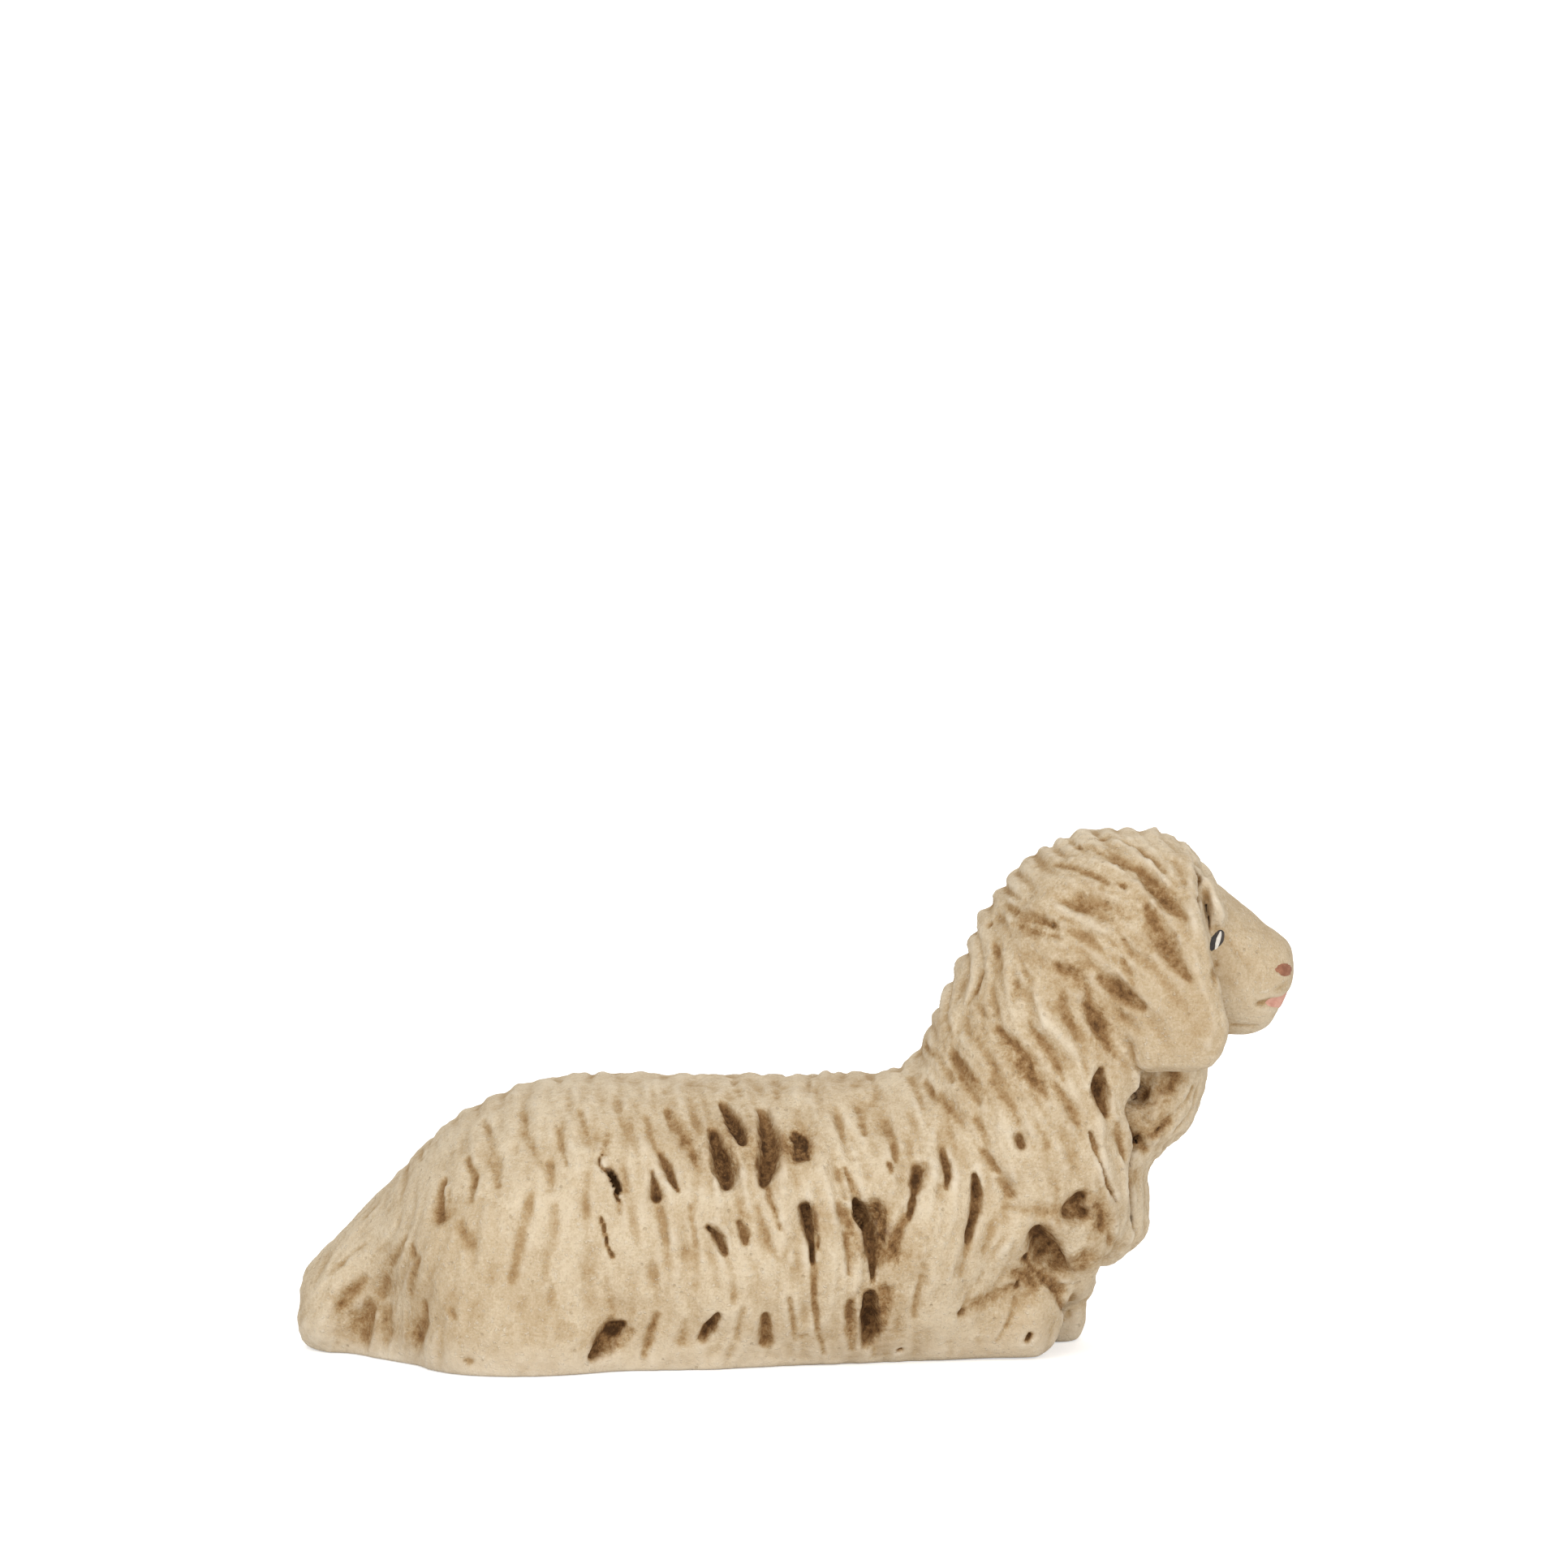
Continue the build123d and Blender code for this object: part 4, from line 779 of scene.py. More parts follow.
# Scallops where the wool parts over the spine, each by a pixel of the outline
SPINE = [
    (497, 1428), (528, 1397), (560, 1374), (590, 1357), (622, 1344), (655, 1334), (690, 1327),
    (728, 1323), (765, 1323), (820, 1323), (860, 1323), (903, 1323), (955, 1325), (998, 1324),
    (1038, 1320), (1072, 1314), (1104, 1304), (1128, 1290), (1146, 1264), (1160, 1240),
    (1176, 1208), (1190, 1172), (1202, 1142), (1219, 1112), (1236, 1088), (1252, 1067),
    (1274, 1049), (1293, 1036), (1316, 1026), (1348, 1020), (1376, 1018), (1404, 1019),
    (1430, 1024), (1452, 1036),
]
SPINE_SCATTER = 0.12  # along the spine, the scallops stray about so far from their places
SPINE_GAP = 0.1  # from the middle plane to where they start
SCALLOP_STEP = 1.1
SCALLOP_DEPTH = 0.5
SCALLOP_WASH = 0.16
RIDGE_HEIGHT = 0.34
NECK_FROM, NECK_TO = 12, 24  # the scallops are deeper between these x
NECK_HOLD, BACK_HOLD = 0.75, 0.4


def faded(line, end, count):
    """Strength along a scallop, from its top to its end."""
    hold = NECK_HOLD if NECK_FROM < line[0][0] < NECK_TO else BACK_HOLD
    return np.linspace(1, end, count + 1) * hold


crest = seen(base, SPINE)
crest[:, 1] = 0
crest = settle(base, crest, 4)
for side in (-1, 1):
    starts = crest + random.normal(0, SPINE_SCATTER, crest.shape) * (1, 0, 1)
    starts[:, 1] = side * SPINE_GAP
    starts = settle(base, starts)
    for line in trace(starts, np.full(len(starts), side), SCALLOP_STEP, 6):
        count = random.integers(4, 7)
        taper = faded(line, 0.15, count)
        widths = (0.55 + 0.5 * taper) * random.uniform(0.85, 1.2)
        depths = SCALLOP_DEPTH * taper * random.uniform(0.7, 1.2)
        stroke(line[: count + 1], widths, depths, SCALLOP_WASH * taper)
    ridges = settle(base, (starts[1:] + starts[:-1]) / 2)
    for line in trace(ridges, np.full(len(ridges), side), SCALLOP_STEP, 6):
        taper = faded(line, 0.1, 6)
        heights = RIDGE_HEIGHT * taper * random.uniform(0.6, 1.2)
        stroke(line, 0.7 + 0.7 * taper, -heights, 0 * taper)


def scattered(points, gap, most=3):
    """A random choice of points that lie at least about gap apart."""
    taken = set()
    chosen = []
    around = [(a, b, c) for a in (-1, 0, 1) for b in (-1, 0, 1) for c in (-1, 0, 1)]
    for i in random.permutation(len(points)):
        x, y, z = (points[i] // gap).astype(int)
        if (x, y, z) in taken or sum((x + a, y + b, z + c) in taken for a, b, c in around) > most:
            continue
        taken.add((x, y, z))
        chosen.append(i)
    return np.array(chosen)


def skin(field):
    """Vertices and four-sided faces of the surface where the field is zero."""
    inside = field < 0
    count = np.zeros([n - 1 for n in field.shape], np.int8)
    corners = [((c >> 0) & 1, (c >> 1) & 1, (c >> 2) & 1) for c in range(8)]
    for i, j, k in corners:
        count += inside[i : i + count.shape[0], j : j + count.shape[1], k : k + count.shape[2]]
    mixed = (count > 0) & (count < 8)
    cells = np.argwhere(mixed)
    index = np.full(mixed.shape, -1, np.int32)
    index[mixed] = np.arange(len(cells))
    total = np.zeros((len(cells), 3))
    hits = np.zeros(len(cells))
    for a in corners:
        for axis in range(3):
            if a[axis]:
                continue
            b = list(a)
            b[axis] = 1
            start = field[tuple((cells + a).T)]
            end = field[tuple((cells + b).T)]
            cross = (start < 0) != (end < 0)
            share = np.where(cross, start / np.where(cross, start - end, 1), 0)
            spot = np.tile(np.array(a, float), (len(cells), 1))
            spot[:, axis] += share
            total += spot * cross[:, None]
            hits += cross
    places = np.array(LOW) + (cells + total / hits[:, None]) * STEP
    faces = []
    for axis in range(3):
        across, up = (axis + 1) % 3, (axis + 2) % 3
        near = np.moveaxis(inside, axis, 0)
        change = near[:-1] != near[1:]
        leaving = near[:-1] & ~near[1:]
        found = np.argwhere(change)
        ends = np.array(near.shape) - 1
        found = found[(found[:, 1:] > 0).all(1) & (found[:, 1:] < ends[1:]).all(1)]
        order = [axis] + [i for i in range(3) if i != axis]
        spots = np.zeros_like(found)
        for column, i in enumerate(order):
            spots[:, i] = found[:, column]
        quad = []
        for du, dv in ((0, 0), (1, 0), (1, 1), (0, 1)):
            moved = spots.copy()
            moved[:, across] -= du
            moved[:, up] -= dv
            quad.append(index[tuple(moved.T)])
        quad = np.stack(quad, 1)
        out = leaving[tuple(found.T)]
        quad[~out] = quad[~out][:, ::-1]
        faces.append(quad)
    return places, np.concatenate(faces)


def blurred(field, steps):
    """The field averaged over boxes, twice each way."""
    size = 2 * steps + 1
    for axis in range(3):
        for _ in range(2):
            ends = [np.take(field, [i] * n, axis) for i, n in ((0, steps + 1), (-1, steps))]
            padded = np.concatenate([ends[0], field, ends[1]], axis)
            sums = np.cumsum(padded, axis, dtype=np.float64)
            upper = np.take(sums, range(size, sums.shape[axis]), axis)
            lower = np.take(sums, range(0, sums.shape[axis] - size), axis)
            field = ((upper - lower) / size).astype(np.float32)
    return field


def cloud(points, size):
    """Smooth random values at points, with lumps of about that size."""
    low, high = points.min(0) - size, points.max(0) + size
    lattice = random.normal(0, 1, np.ceil((high - low) / size).astype(int) + 2)
    place = (points - low) / size
    cell = place.astype(int)
    share = place - cell
    share = share * share * (3 - 2 * share)
    total = np.zeros(len(points))
    for corner in range(8):
        step = np.array([(corner >> i) & 1 for i in range(3)])
        weight = np.prod(np.where(step, share, 1 - share), 1)
        total += weight * lattice[tuple((cell + step).T)]
    return total


def vertex_normals(places, faces):
    """Normals of the joined surface, so that the lumps shade as one."""
    a, b, c, d = (places[faces[:, i]] for i in range(4))
    cross = np.cross(c - a, d - b)
    normals = np.zeros_like(places)
    for i in range(4):
        for k in range(3):
            normals[:, k] += np.bincount(faces[:, i], cross[:, k], len(places))
    return unit(normals, 1e-9)


# Strands of wool between the furrows, and the locks that they leave. Each row: distance
# between strands, steps in one, width, depth and wash
STRANDS = [
    (1.9, 8, 1.25, 0.34, 0.08),
    (1.2, 5, 0.7, 0.18, 0.05),
    (0.9, 3, 0.45, 0.09, 0.03),
]
STRAND_STEP = 0.85
LOCK_SHARE = 0.45  # of the strands, so many are raised
LOCK_HEIGHT = 0.8  # of what a furrow is deep
LOCK_WIDTH = 1.25
WOOL = ("trunk", "neck", "poll_fleece", "breast_fleece", "tail", "right_hind_leg", "left_hind_leg")
SOLE = 0.6  # no strand starts lower than this
SOLE_ROUNDING = 0.5


def on_wool(points):
    """True at points of the fleece, and not of the bare skin."""
    return np.isin(owner[cell_of(points)], [owners.index(name) for name in WOOL])


drawn = groove.copy()
groove[:] = 0
places, faces = skin(base)
seeds = places[on_wool(places) & (places[:, 2] > SOLE)]
for gap, count, width, depth, tint in STRANDS:
    starts = seeds[scattered(seeds, gap)]
    starts = settle(base, starts + random.normal(0, gap / 3, starts.shape))
    sides = np.where(starts[:, 1] < 0, -1, 1)
    lines = trace(starts, sides, STRAND_STEP, count)
    for line, strong in zip(lines, flow(starts)[1]):
        taper = np.sin(np.linspace(0.25, math.pi - 0.2, count + 1))
        size = random.uniform(0.6, 1.25)
        lock = random.random() < LOCK_SHARE
        wide = width * (0.75 + 0.35 * taper) * random.uniform(0.8, 1.3) * (LOCK_WIDTH if lock else 1)
        high = (-LOCK_HEIGHT if lock else 1.0) * depth * strong * size * taper
        stroke(line, wide, high, tint * strong * size * taper * (not lock))


def wool_way(points, out, batch=20000):
    """Direction of the wool at each vertex, and how strong its strands are."""
    ways, strengths = [], []
    for start in range(0, len(points), batch):
        some = slice(start, start + batch)
        lean, strength = flow(points[some])
        ways.append(along_wool(out[some], lean))
        strengths.append(strength)
    return unit(np.concatenate(ways)), np.concatenate(strengths)


def streaks(points, ways, size, length, count=9):
    """Random values drawn out along the wool."""
    shares = np.linspace(-1, 1, count)
    weights = np.cos(shares * math.pi / 2 * 0.9)
    many = (points[None] + ways[None] * (shares * length / 2)[:, None, None]).reshape(-1, 3)
    total = (cloud(many, size).reshape(count, -1) * weights[:, None]).sum(0)
    return total / total.std()


def neighbours(values, faces, count):
    """The mean of what the vertices next to each one hold."""
    total, hits = np.zeros((count, values.shape[1])), np.zeros(count)
    for i in range(4):
        for a, b in ((faces[:, i], faces[:, (i + 1) % 4]), (faces[:, (i + 1) % 4], faces[:, i])):
            hits += np.bincount(a, minlength=count)
            for k in range(values.shape[1]):
                total[:, k] += np.bincount(a, values[b, k], count)
    return total / np.maximum(hits, 1)[:, None]


# Drawn pits stay clear of strands, from this depth and over this range of depths
CLEAR_DEPTH, CLEAR_RANGE, CLEAR_SHARE = 0.35, 0.5, 0.85
clear = CLEAR_SHARE * np.clip((np.abs(drawn) - CLEAR_DEPTH) / CLEAR_RANGE, 0, 1)
groove = drawn + groove * (1 - clear)
ground = axes[2][None, None, :]
field = -melt(-(base + groove), ground, SOLE_ROUNDING)
places, faces = skin(field)
places = settle(field, places, 2)
normals = vertex_normals(places, faces)

woolly = on_wool(places).astype(float)[:, None]
for _ in range(6):
    woolly = neighbours(woolly, faces, len(places))
woolly = woolly[:, 0]
ways, strength = wool_way(places, normals)
strength = np.clip(strength, 0.3, 1) * woolly
strand = streaks(places, ways, 0.45, 2.6)
broad = streaks(places, ways, 0.9, 4.5)

# Unevenness of the clay, in millimetres, by the size of its lumps
rough = (0.055 * cloud(places, 1.6) + 0.03 * cloud(places, 0.8)) * (0.5 + 0.5 * woolly)
rough += 0.012 * cloud(places, 0.35) + strength * (0.010 * strand + 0.035 * broad)
near_ground = np.clip(places[:, 2] / 0.8, 0, 1)
places += normals * (rough * near_ground)[:, None]
places[:, 2] = np.maximum(places[:, 2], 0)
normals = vertex_normals(places, faces)

# What the paint goes by: how far each vertex stands out from those around it, within a fixed
# distance, the run of the strands, how hollow the form is, and the wash of the strokes
CREST_REACH = 0.45
PAINTED_LIGHT_EDGE = 2.6  # the lowest part of the flank is painted paler up to about here, as painted light from below
crest = ((places - neighbours(places, faces, len(places))) * normals).sum(1)[:, None] / STEP**2
for _ in range(round((CREST_REACH / STEP) ** 2)):
    crest = (crest + neighbours(crest, faces, len(places))) / 2
# Painted light: the low flank counts as a crest, so it is painted paler, as if lit from below.
crest = crest[:, 0] * 1.2 + 0.45 * np.exp(-((places[:, 2] / PAINTED_LIGHT_EDGE) ** 2))
crest = np.clip(crest, -1, 1)
strand = strength * (0.3 * strand + 0.6 * broad)
bent = sample(blurred(np.clip(field, -2.0, 2.0), max(int(round(0.7 / STEP)), 1)), places)
wash = sample(stain, places)

# Broad brown wash. Each row: pixel, radius in pixels, strength. A strength under zero is no wash but painted
# light, which makes the paint paler there.
WASH = [
    (1420, 1350, 24, 0.50), (1402, 1400, 18, 0.45), (1446, 1330, 16, 0.30), (1432, 1388, 16, 0.35),
    (1396, 1450, 14, 0.35), (1095, 1535, 30, 0.32), (1076, 1605, 34, 0.36), (1062, 1540, 16, 0.25),
    (1078, 1500, 20, 0.30), (1076, 1650, 30, 0.22), (1330, 1488, 34, 0.28), (1470, 1250, 60, 0.06),
    # The row at the jaw, with a strength under zero, is painted light: the underside of the jaw is painted
    # paler, as if lit from below.
    (1548, 1262, 36, -0.14), (1356, 1504, 22, 0.35), (1266, 1576, 26, 0.35), (1290, 1530, 30, 0.30),
    (1338, 1556, 24, 0.40), (1316, 1606, 14, 0.25), (1210, 1600, 22, 0.16), (760, 1595, 22, 0.14),
    (754, 1645, 30, 0.26), (448, 1632, 32, 0.24), (505, 1640, 30, 0.22), (484, 1560, 36, 0.16),
    (416, 1600, 20, 0.20), (545, 1490, 22, 0.16), (895, 1405, 38, 0.26), (945, 1415, 32, 0.26),
    (986, 1412, 28, 0.40), (874, 1636, 20, 0.20), (944, 1640, 20, 0.20), (1000, 1510, 18, 0.25),
    (1255, 1308, 36, 0.14), (1354, 1262, 30, 0.14), (1385, 1226, 26, 0.14), (1326, 1206, 26, 0.14),
    (1270, 1138, 34, 0.16), (1350, 1112, 50, 0.12), (1424, 1100, 24, 0.14), (1436, 1170, 22, 0.14),
    (1480, 1105, 14, 0.20), (1498, 1198, 9, 0.30), (1356, 1350, 22, 0.20), (1240, 1250, 120, 0.10),
    (1330, 1120, 90, 0.07), (1300, 1400, 90, 0.05), (880, 1370, 130, 0.05), (1180, 1420, 70, 0.04),
]
spots = seen(base, [row[:2] for row in WASH])
for (_, _, radius, amount), spot in zip(WASH, spots):
    for side in (-1, 1):
        near = ((places - beside(-side, spot)) ** 2).sum(1) / (radius / PER_MM) ** 2
        wash += amount * np.exp(-near)

LAYERS = {"wash": wash, "bent": bent, "crest": crest, "strand": strand}
slots = {item["node"]: item["material_slot"] for item in frame["record"]["subparts"]}


def dress(name, suffix, points, quads):
    """A mesh of its own that takes the place of one node of the frame."""
    mesh = bpy.data.meshes.new(f"{name}_{suffix}")
    mesh.from_pydata((points * MM).tolist(), [], quads)
    mesh.shade_smooth()
    piece = bpy.data.objects.new(f"{name}_{suffix}", mesh)
    bpy.context.scene.collection.objects.link(piece)
    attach(piece, "root")
    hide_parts(name)
    return mesh


def add_clay(name, keep):
    """One lump of clay, cut out of the joined surface."""
    used = np.unique(faces[keep])
    renumber = np.full(len(places), -1, np.int32)
    renumber[used] = np.arange(len(used))
    mesh = dress(name, "clay", places[used], renumber[faces[keep]].tolist())
    mesh.normals_split_custom_set_from_vertices(normals[used].tolist())
    for label, values in LAYERS.items():
        layer = mesh.attributes.new(label, "FLOAT", "POINT")
        layer.data.foreach_set("value", values[used].astype(np.float32))
    return mesh


lump_of = owner[cell_of(places[faces].mean(1))]
clay = [add_clay(name, lump_of == number) for number, name in enumerate(owners)]


def srgb(r, g, b):
    """A colour given as on a screen, 0 to 255, as Blender stores it."""
    shares = [c / 255 for c in (r, g, b)]
    return tuple(c / 12.92 if c < 0.04045 else ((c + 0.055) / 1.055) ** 2.4 for c in shares) + (1.0,)


class Nodes:
    """Short ways to add shader nodes to one material or world."""

    def __init__(self, holder):
        self.holder = holder
        holder.use_nodes = True
        self.tree = holder.node_tree
        self.tree.nodes.clear()

    def put(self, socket, value):
        if isinstance(value, bpy.types.NodeSocket):
            self.tree.links.new(value, socket)
        else:
            socket.default_value = value

    def add(self, kind, inputs=None, **settings):
        node = self.tree.nodes.new(kind)
        for key, value in settings.items():
            setattr(node, key, value)
        for key, value in (inputs or {}).items():
            self.put(node.inputs[key], value)
        return node

    def math(self, operation, a, b=0.0, clamp=False):
        return self.add("ShaderNodeMath", {0: a, 1: b}, operation=operation, use_clamp=clamp).outputs[0]

    def place(self):
        return self.add("ShaderNodeTexCoord").outputs["Object"]

    def noise(self, scale, detail=3.0, roughness=0.6):
        inputs = {"Vector": self.place(), "Scale": scale, "Detail": detail, "Roughness": roughness}
        return self.add("ShaderNodeTexNoise", inputs).outputs["Fac"]

    def spread(self, value, low, high, to_low=0.0, to_high=1.0):
        inputs = {0: value, 1: low, 2: high, 3: to_low, 4: to_high}
        return self.add("ShaderNodeMapRange", inputs).outputs[0]

    def blend(self, amount, a, b):
        return self.add("ShaderNodeMix", {0: amount, 6: a, 7: b}, data_type="RGBA").outputs[2]

    def ramp(self, value, stops):
        node = self.add("ShaderNodeValToRGB", {"Fac": value})
        elements = node.color_ramp.elements
        while len(elements) < len(stops):
            elements.new(0.5)
        for element, (at, colour) in zip(elements, stops):
            element.position = at
            element.color = colour
        return node.outputs["Color"]

    def straight_ray(self):
        """1 for what the camera sees, also reflected or through glass, and 0 for other light."""
        path = self.add("ShaderNodeLightPath").outputs
        ray = self.math("MAXIMUM", path["Is Camera Ray"], path["Is Glossy Ray"])
        return self.math("MAXIMUM", ray, path["Is Transmission Ray"])

    def paint(self, colour, rough, specular, height, strength, depth):
        """Ends a material as paint with a grain of that height."""
        bump = self.add("ShaderNodeBump", {"Strength": strength, "Distance": depth, "Height": height})
        shader = self.add(
            "ShaderNodeBsdfPrincipled",
            {
                "Base Color": colour,
                "Roughness": rough,
                "Specular IOR Level": specular,
                "Normal": bump.outputs["Normal"],
            },
        )
        self.add("ShaderNodeOutputMaterial", {"Surface": shader.outputs[0]})
        return self.holder


PALE = srgb(236, 224, 204)
CREAM = srgb(219, 201, 172)
BEIGE = srgb(200, 178, 145)
TAN = srgb(177, 148, 108)
BROWN = srgb(146, 111, 70)
DARK = srgb(115, 82, 47)
UMBER = srgb(80, 54, 28)
# Stops of the brown wash, from bare paint to the bottom of a pit
WASH_RAMP = [(0.0, CREAM), (0.14, BEIGE), (0.32, TAN), (0.54, BROWN), (0.78, DARK), (1.0, UMBER)]
# Noises of the paint. Each one: scale to the metre, detail and roughness
PATCHES = (260.0, 4.0, 0.6)
SPECKS = (2400.0, 4.0, 0.75)
GRIT = (5600.0, 2.0, 0.7)
CRUMBS = (3300.0, 1.0, 0.5)
CRINKLES = (1150.0, 3.0, 0.7)
STREAKS = (1500.0, 3.0, 0.7)
BRUSH_GRAIN = (4200.0, 3.0, 0.6)
PORE_SCALE = 700.0


def clay_paint(name, warm, mottle):
    """Matte cream paint with a brown wash that gathers in the furrows, painted shade in fine creases, paler
    crests that are partly rubbed and partly painted highlight, and fine pores.
    """
    n = Nodes(bpy.data.materials.new(name))
    painted, hollow, ridge, along = (
        n.add("ShaderNodeAttribute", attribute_name=label).outputs["Fac"] for label in LAYERS
    )
    patches, specks, grit = (n.noise(*kind) for kind in (PATCHES, SPECKS, GRIT))
    crumbs = n.spread(n.noise(*CRUMBS), 0.64, 0.72)
    crinkles = n.spread(n.noise(*CRINKLES), 0.36, 0.64, 0.6, 1.3)
    # the wash breaks up along the strands and over the grain
    broken = n.math("ADD", n.spread(specks, 0.3, 0.7, 0.62, 1.3), n.math("MULTIPLY", along, -0.16))
    amount = n.math("MULTIPLY", n.math("MULTIPLY", painted, 0.86), n.math("MULTIPLY", broken, crinkles))
    for value, share in (
        (n.spread(hollow, 0.0, -0.2), 0.16),
        # painted shade: fine creases are darkened by how far they sink below their surroundings
        (n.spread(ridge, 0.05, -0.7), 0.2),
        (along, -0.035),
        (n.math("SUBTRACT", specks, 0.5), 0.34),
        (n.math("SUBTRACT", grit, 0.5), 0.42),
        (n.math("SUBTRACT", patches, 0.5), mottle),
    ):
        amount = n.math("ADD", amount, n.math("MULTIPLY", value, share))
    amount = n.math("DIVIDE", n.math("ADD", amount, warm), 1.25, True)
    colour = n.ramp(amount, WASH_RAMP)
    # paler on the crests: partly rubbed paint, partly a painted highlight
    rubbed_and_highlit = n.math("MULTIPLY", n.spread(ridge, 0.12, 0.8), n.spread(grit, 0.4, 0.6, 0.5, 1.0))
    rubbed_and_highlit = n.math("MULTIPLY", rubbed_and_highlit, n.spread(painted, 0.05, 0.5, 0.8, 0.15))
    colour = n.blend(rubbed_and_highlit, colour, PALE)
    colour = n.blend(n.math("MULTIPLY", crumbs, n.spread(painted, 0.0, 0.3, 0.4, 0.0)), colour, PALE)
    # pores that the mould left
    cells = {"Vector": n.place(), "Scale": PORE_SCALE, "Randomness": 1.0}
    pore = n.spread(n.add("ShaderNodeTexVoronoi", cells).outputs["Distance"], 0.05, 0.11, 1.0, 0.0)
    colour = n.blend(n.math("MULTIPLY", pore, 0.35), colour, TAN)
    height = specks
    for value, share in ((grit, 0.6), (crumbs, 0.5), (pore, -0.8)):
        height = n.math("ADD", height, n.math("MULTIPLY", value, share))
    rough = n.spread(specks, 0.3, 0.7, 0.8, 0.92)
    return n.paint(colour, rough, 0.25, height, strength=0.75, depth=0.00015)


def brushed(name, colour, deeper, rough):
    """Brush paint with streaks and a little of the grain under it."""
    n = Nodes(bpy.data.materials.new(name))
    colour = n.blend(n.spread(n.noise(*STREAKS), 0.35, 0.7), colour, deeper)
    return n.paint(colour, rough, 0.4, n.noise(*BRUSH_GRAIN), strength=0.3, depth=0.0001)


paints = {
    "painted_wool": clay_paint("painted_wool", 0.06, 0.40),
    "painted_skin": clay_paint("painted_skin", 0.15, 0.34),
    "eye_paint": brushed("eye_paint", srgb(34, 30, 28), srgb(80, 70, 60), 0.6),
    "glint_paint": brushed("glint_paint", srgb(246, 242, 232), srgb(214, 206, 194), 0.5),
    "nostril_paint": brushed("nostril_paint", srgb(168, 116, 88), srgb(128, 78, 56), 0.75),
    "lip_paint": brushed("lip_paint", srgb(218, 168, 148), srgb(200, 144, 124), 0.7),
}
for mesh, name in zip(clay, owners):
    mesh.materials.append(paints[slots[name]])

# Touches of paint. Each row: name, how proud it stands, and its outline by pixel
PAINT = [
    ("eye", 0.11, [
        (1486, 1171), (1487, 1164), (1491, 1156), (1497, 1150), (1504, 1146),
        (1510, 1149), (1510, 1156), (1506, 1163), (1499, 1168), (1492, 1172),
    ]),
    ("eye_glint", 0.17, [
        (1496, 1169), (1496, 1160), (1499, 1153), (1504, 1147), (1506, 1150), (1504, 1159), (1500, 1168),
    ]),
    ("nostril", 0.09, [
        (1574, 1190), (1581, 1187), (1588, 1188), (1591, 1194),
        (1589, 1201), (1582, 1203), (1576, 1200), (1571, 1195),
    ]),
]
RINGS = [0.3, 0.55, 0.78, 0.92, 1.0]
SUNK = 0.02  # the edge of a touch of paint lies this deep in the clay
EYE_OUT = 5.2  # about how far the eyes lie from the middle plane
HEAD_INSIDE, HEAD_OUTSIDE = -2.5, -9.0  # the search for the skin at the eye runs between these y
FINE_STEP = 0.05
LIP_HEIGHT = 28.3
LIP_HALF = 0.72
LIP_TURN = 60  # degrees round from the front to each end
LIP_PROUD = 0.12
LIP_MIDDLE = 35.6  # the search for the lips runs inwards to this x
LIP_REACH = 5.2


def outline_between(points, count=6):
    """More points between these, all round, on a smooth closed curve."""
    points = np.array(points, float)
    rows = []
    for i in range(len(points)):
        a, b, c, d = (points[(i + k) % len(points)] for k in (-1, 0, 1, 2))
        for u in np.arange(count) / count:
            bend = (2 * a - 5 * b + 4 * c - d) * u**2 + (3 * b - a - 3 * c + d) * u**3
            rows.append(0.5 * (2 * b + (c - a) * u + bend))
    return np.array(rows)


def on_face(pixels):
    """Where pixels at the eye lie on the skin of the face, found outwards from inside the head."""
    start, _ = sight(pixels, -EYE_OUT)
    across = np.arange(HEAD_INSIDE, HEAD_OUTSIDE, -FINE_STEP)
    lines = np.repeat(start[:, None], len(across), 1)
    lines[:, :, 1] = across
    return first_met(field, lines, outwards=True)


def sheet(rows, count, closed):
    """Four-sided faces of a grid of points, rows by count, closed to a ring or open."""
    quads = []
    for row in range(rows - 1):
        for i in range(count if closed else count - 1):
            k = (i + 1) % count
            a, b = row * count, (row + 1) * count
            quads.append((a + i, a + k, b + k, b + i))
    return quads


def touch(name, proud, outline):
    """One touch of paint, raised in the middle, on both sides of the head."""
    outline = outline_between(outline)
    middle = outline.mean(0)
    count = len(outline)
    pixels = np.concatenate([middle + share * (outline - middle) for share in RINGS] + [middle[None]])
    lift = [np.full(count, proud * (1 - share**4) - SUNK) for share in RINGS] + [[proud]]
    spots = seen(field, pixels) if name == "nostril" else on_face(pixels)
    spots = spots + facing(field, spots) * np.concatenate(lift)[:, None]
    quads = sheet(len(RINGS), count, closed=True)
    quads += [(len(spots) - 1, (i + 1) % count, i) for i in range(count)]
    for side, label in SIDES:
        turned = [quad[::-1] for quad in quads] if side < 0 else quads
        node = f"{label}_{name}"
        mesh = dress(node, "paint", spots * (1, -side, 1), turned)
        mesh.materials.append(paints[slots[node]])


def lips():
    """The pink coat round the front of the lips."""
    turns = np.radians(np.linspace(-LIP_TURN, LIP_TURN, 41))
    levels = np.linspace(-1, 1, 9)
    ends = np.cos(turns * 90 / LIP_TURN)
    half = LIP_HALF * np.clip(1.15 * ends**0.5, 0.02, 1)
    radius = LIP_REACH - np.arange(0, 5, FINE_STEP)
    spots = []
    for level in levels:
        height = np.repeat((LIP_HEIGHT + level * half)[:, None], len(radius), 1)
        x = LIP_MIDDLE + np.cos(turns)[:, None] * radius
        lines = np.stack([x, np.sin(turns)[:, None] * radius, height], -1)
        row = first_met(field, lines)
        lift = LIP_PROUD * (1 - abs(level) ** 4) * np.clip(ends * 6, 0, 1) - SUNK
        spots.append(row + facing(field, row) * lift[:, None])
    quads = sheet(len(levels), len(turns), closed=False)
    mesh = dress("mouth", "paint", np.concatenate(spots), quads)
    mesh.materials.append(paints[slots["mouth"]])


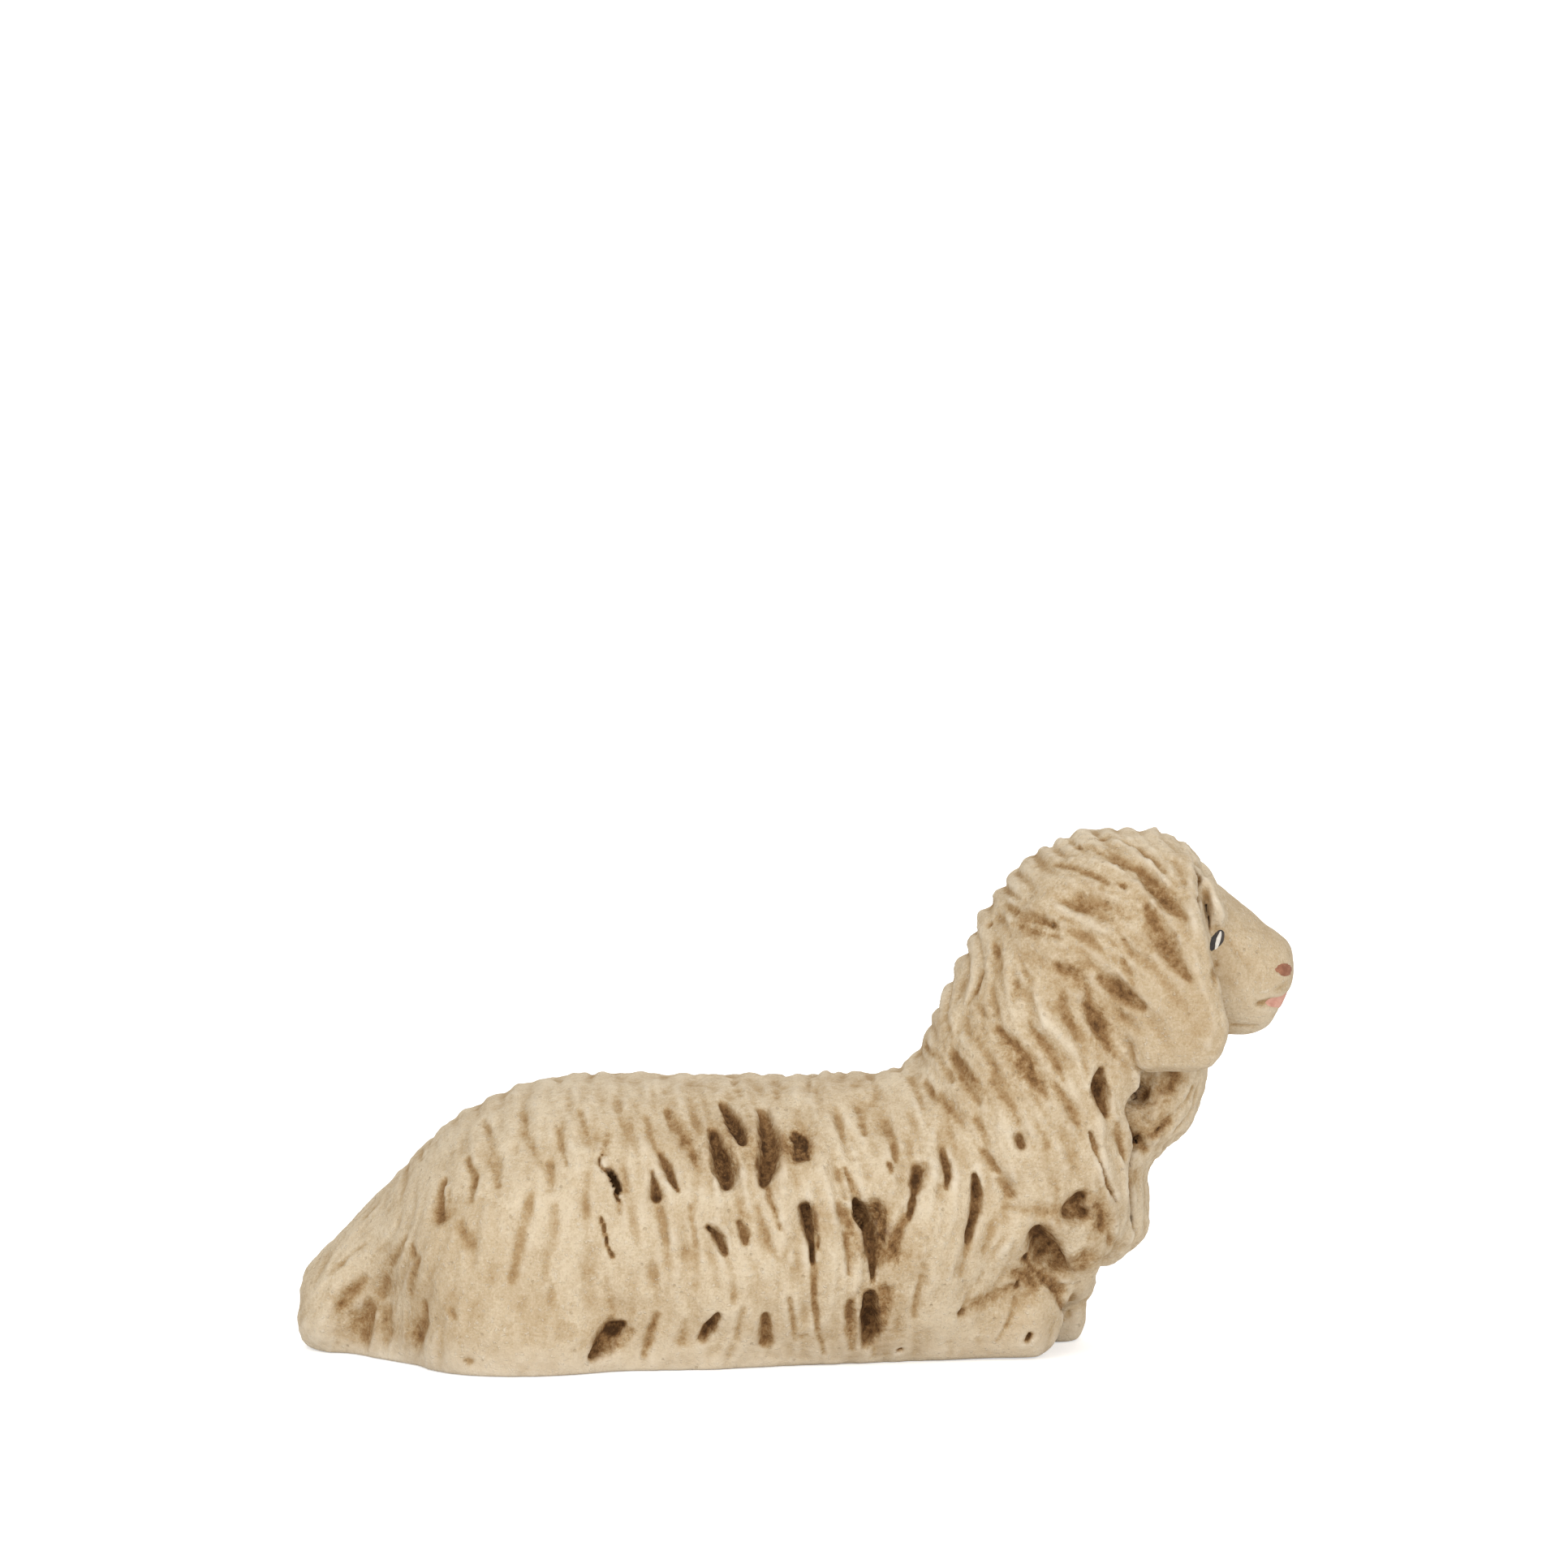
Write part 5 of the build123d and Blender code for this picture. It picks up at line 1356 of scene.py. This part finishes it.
for row in PAINT:
    touch(*row)
lips()

# Camera
camera_data = bpy.data.cameras.new("camera")
camera_data.sensor_width = SENSOR
camera_data.lens = LENS
camera_data.clip_start = 0.05
camera_data.clip_end = 200
camera = bpy.data.objects.new("camera", camera_data)
camera.location = [c * MM for c in CAMERA_PLACE]
camera.rotation_euler = (math.pi / 2 - pitch, 0, yaw)
bpy.context.scene.collection.objects.link(camera)
bpy.context.scene.camera = camera

# Lamps. Each row: name, place and size in metres, and power in watts
LAMPS = [
    ("key", (-0.25, -0.40, 0.50), 0.35, 1.3),
    ("fill", (0.45, -0.45, 0.22), 0.40, 0.9),
    ("low", (-0.05, -0.70, 0.08), 0.50, 2.1),
    ("back", (0.1, 0.45, 0.45), 0.40, 1.0),
]
LAMP_AIM = (0, 0, 0.02)
WHITE = (1, 1, 1, 1)
FLOOR_EDGE = 60.0
FLOOR_COLOUR = (0.88, 0.88, 0.88, 1)


def lamp(name, place, size, power):
    """A soft square lamp, aimed at the sheep."""
    light = bpy.data.lights.new(name, "AREA")
    light.shape = "SQUARE"
    light.size = size
    light.energy = power
    lamp_object = bpy.data.objects.new(name, light)
    lamp_object.location = place
    aim = np.array(LAMP_AIM) - np.array(place)
    rise = math.atan2(aim[2], math.hypot(aim[0], aim[1]))
    lamp_object.rotation_euler = (math.pi / 2 + rise, 0, math.atan2(-aim[0], aim[1]))
    bpy.context.scene.collection.objects.link(lamp_object)


def studio():
    """A world that lights dimly and looks white."""
    world = bpy.data.worlds.new("studio")
    bpy.context.scene.world = world
    w = Nodes(world)
    dim, white = (
        w.add("ShaderNodeBackground", {"Color": WHITE, "Strength": strength}).outputs[0]
        for strength in (0.5, 1.0)
    )
    chosen = w.add("ShaderNodeMixShader", {0: w.straight_ray(), 1: dim, 2: white})
    w.add("ShaderNodeOutputWorld", {"Surface": chosen.outputs[0]})


def floor():
    """A wide floor that takes the sheep's shadow and looks white further off."""
    mesh = bpy.data.meshes.new("floor")
    corners = [(x * FLOOR_EDGE, y * FLOOR_EDGE, 0) for x, y in ((-1, -1), (1, -1), (1, 1), (-1, 1))]
    mesh.from_pydata(corners, [], [(0, 1, 2, 3)])
    stage = bpy.data.objects.new("floor", mesh)
    bpy.context.scene.collection.objects.link(stage)
    f = Nodes(bpy.data.materials.new("floor_white"))
    bounce = f.add("ShaderNodeBsdfDiffuse", {"Color": FLOOR_COLOUR}).outputs[0]
    distance = f.add("ShaderNodeVectorMath", {0: f.place()}, operation="LENGTH").outputs["Value"]
    strength = f.spread(distance, 0.1, 0.8, 0.5, 0.72)
    glow = f.add("ShaderNodeEmission", {"Color": WHITE, "Strength": strength}).outputs[0]
    both = f.add("ShaderNodeAddShader", {0: bounce, 1: glow}).outputs[0]
    top = f.add("ShaderNodeMixShader", {0: f.straight_ray(), 1: bounce, 2: both})
    f.add("ShaderNodeOutputMaterial", {"Surface": top.outputs[0]})
    mesh.materials.append(f.holder)


for row in LAMPS:
    lamp(*row)
studio()
floor()

bpy.context.scene.view_settings.view_transform = "Standard"
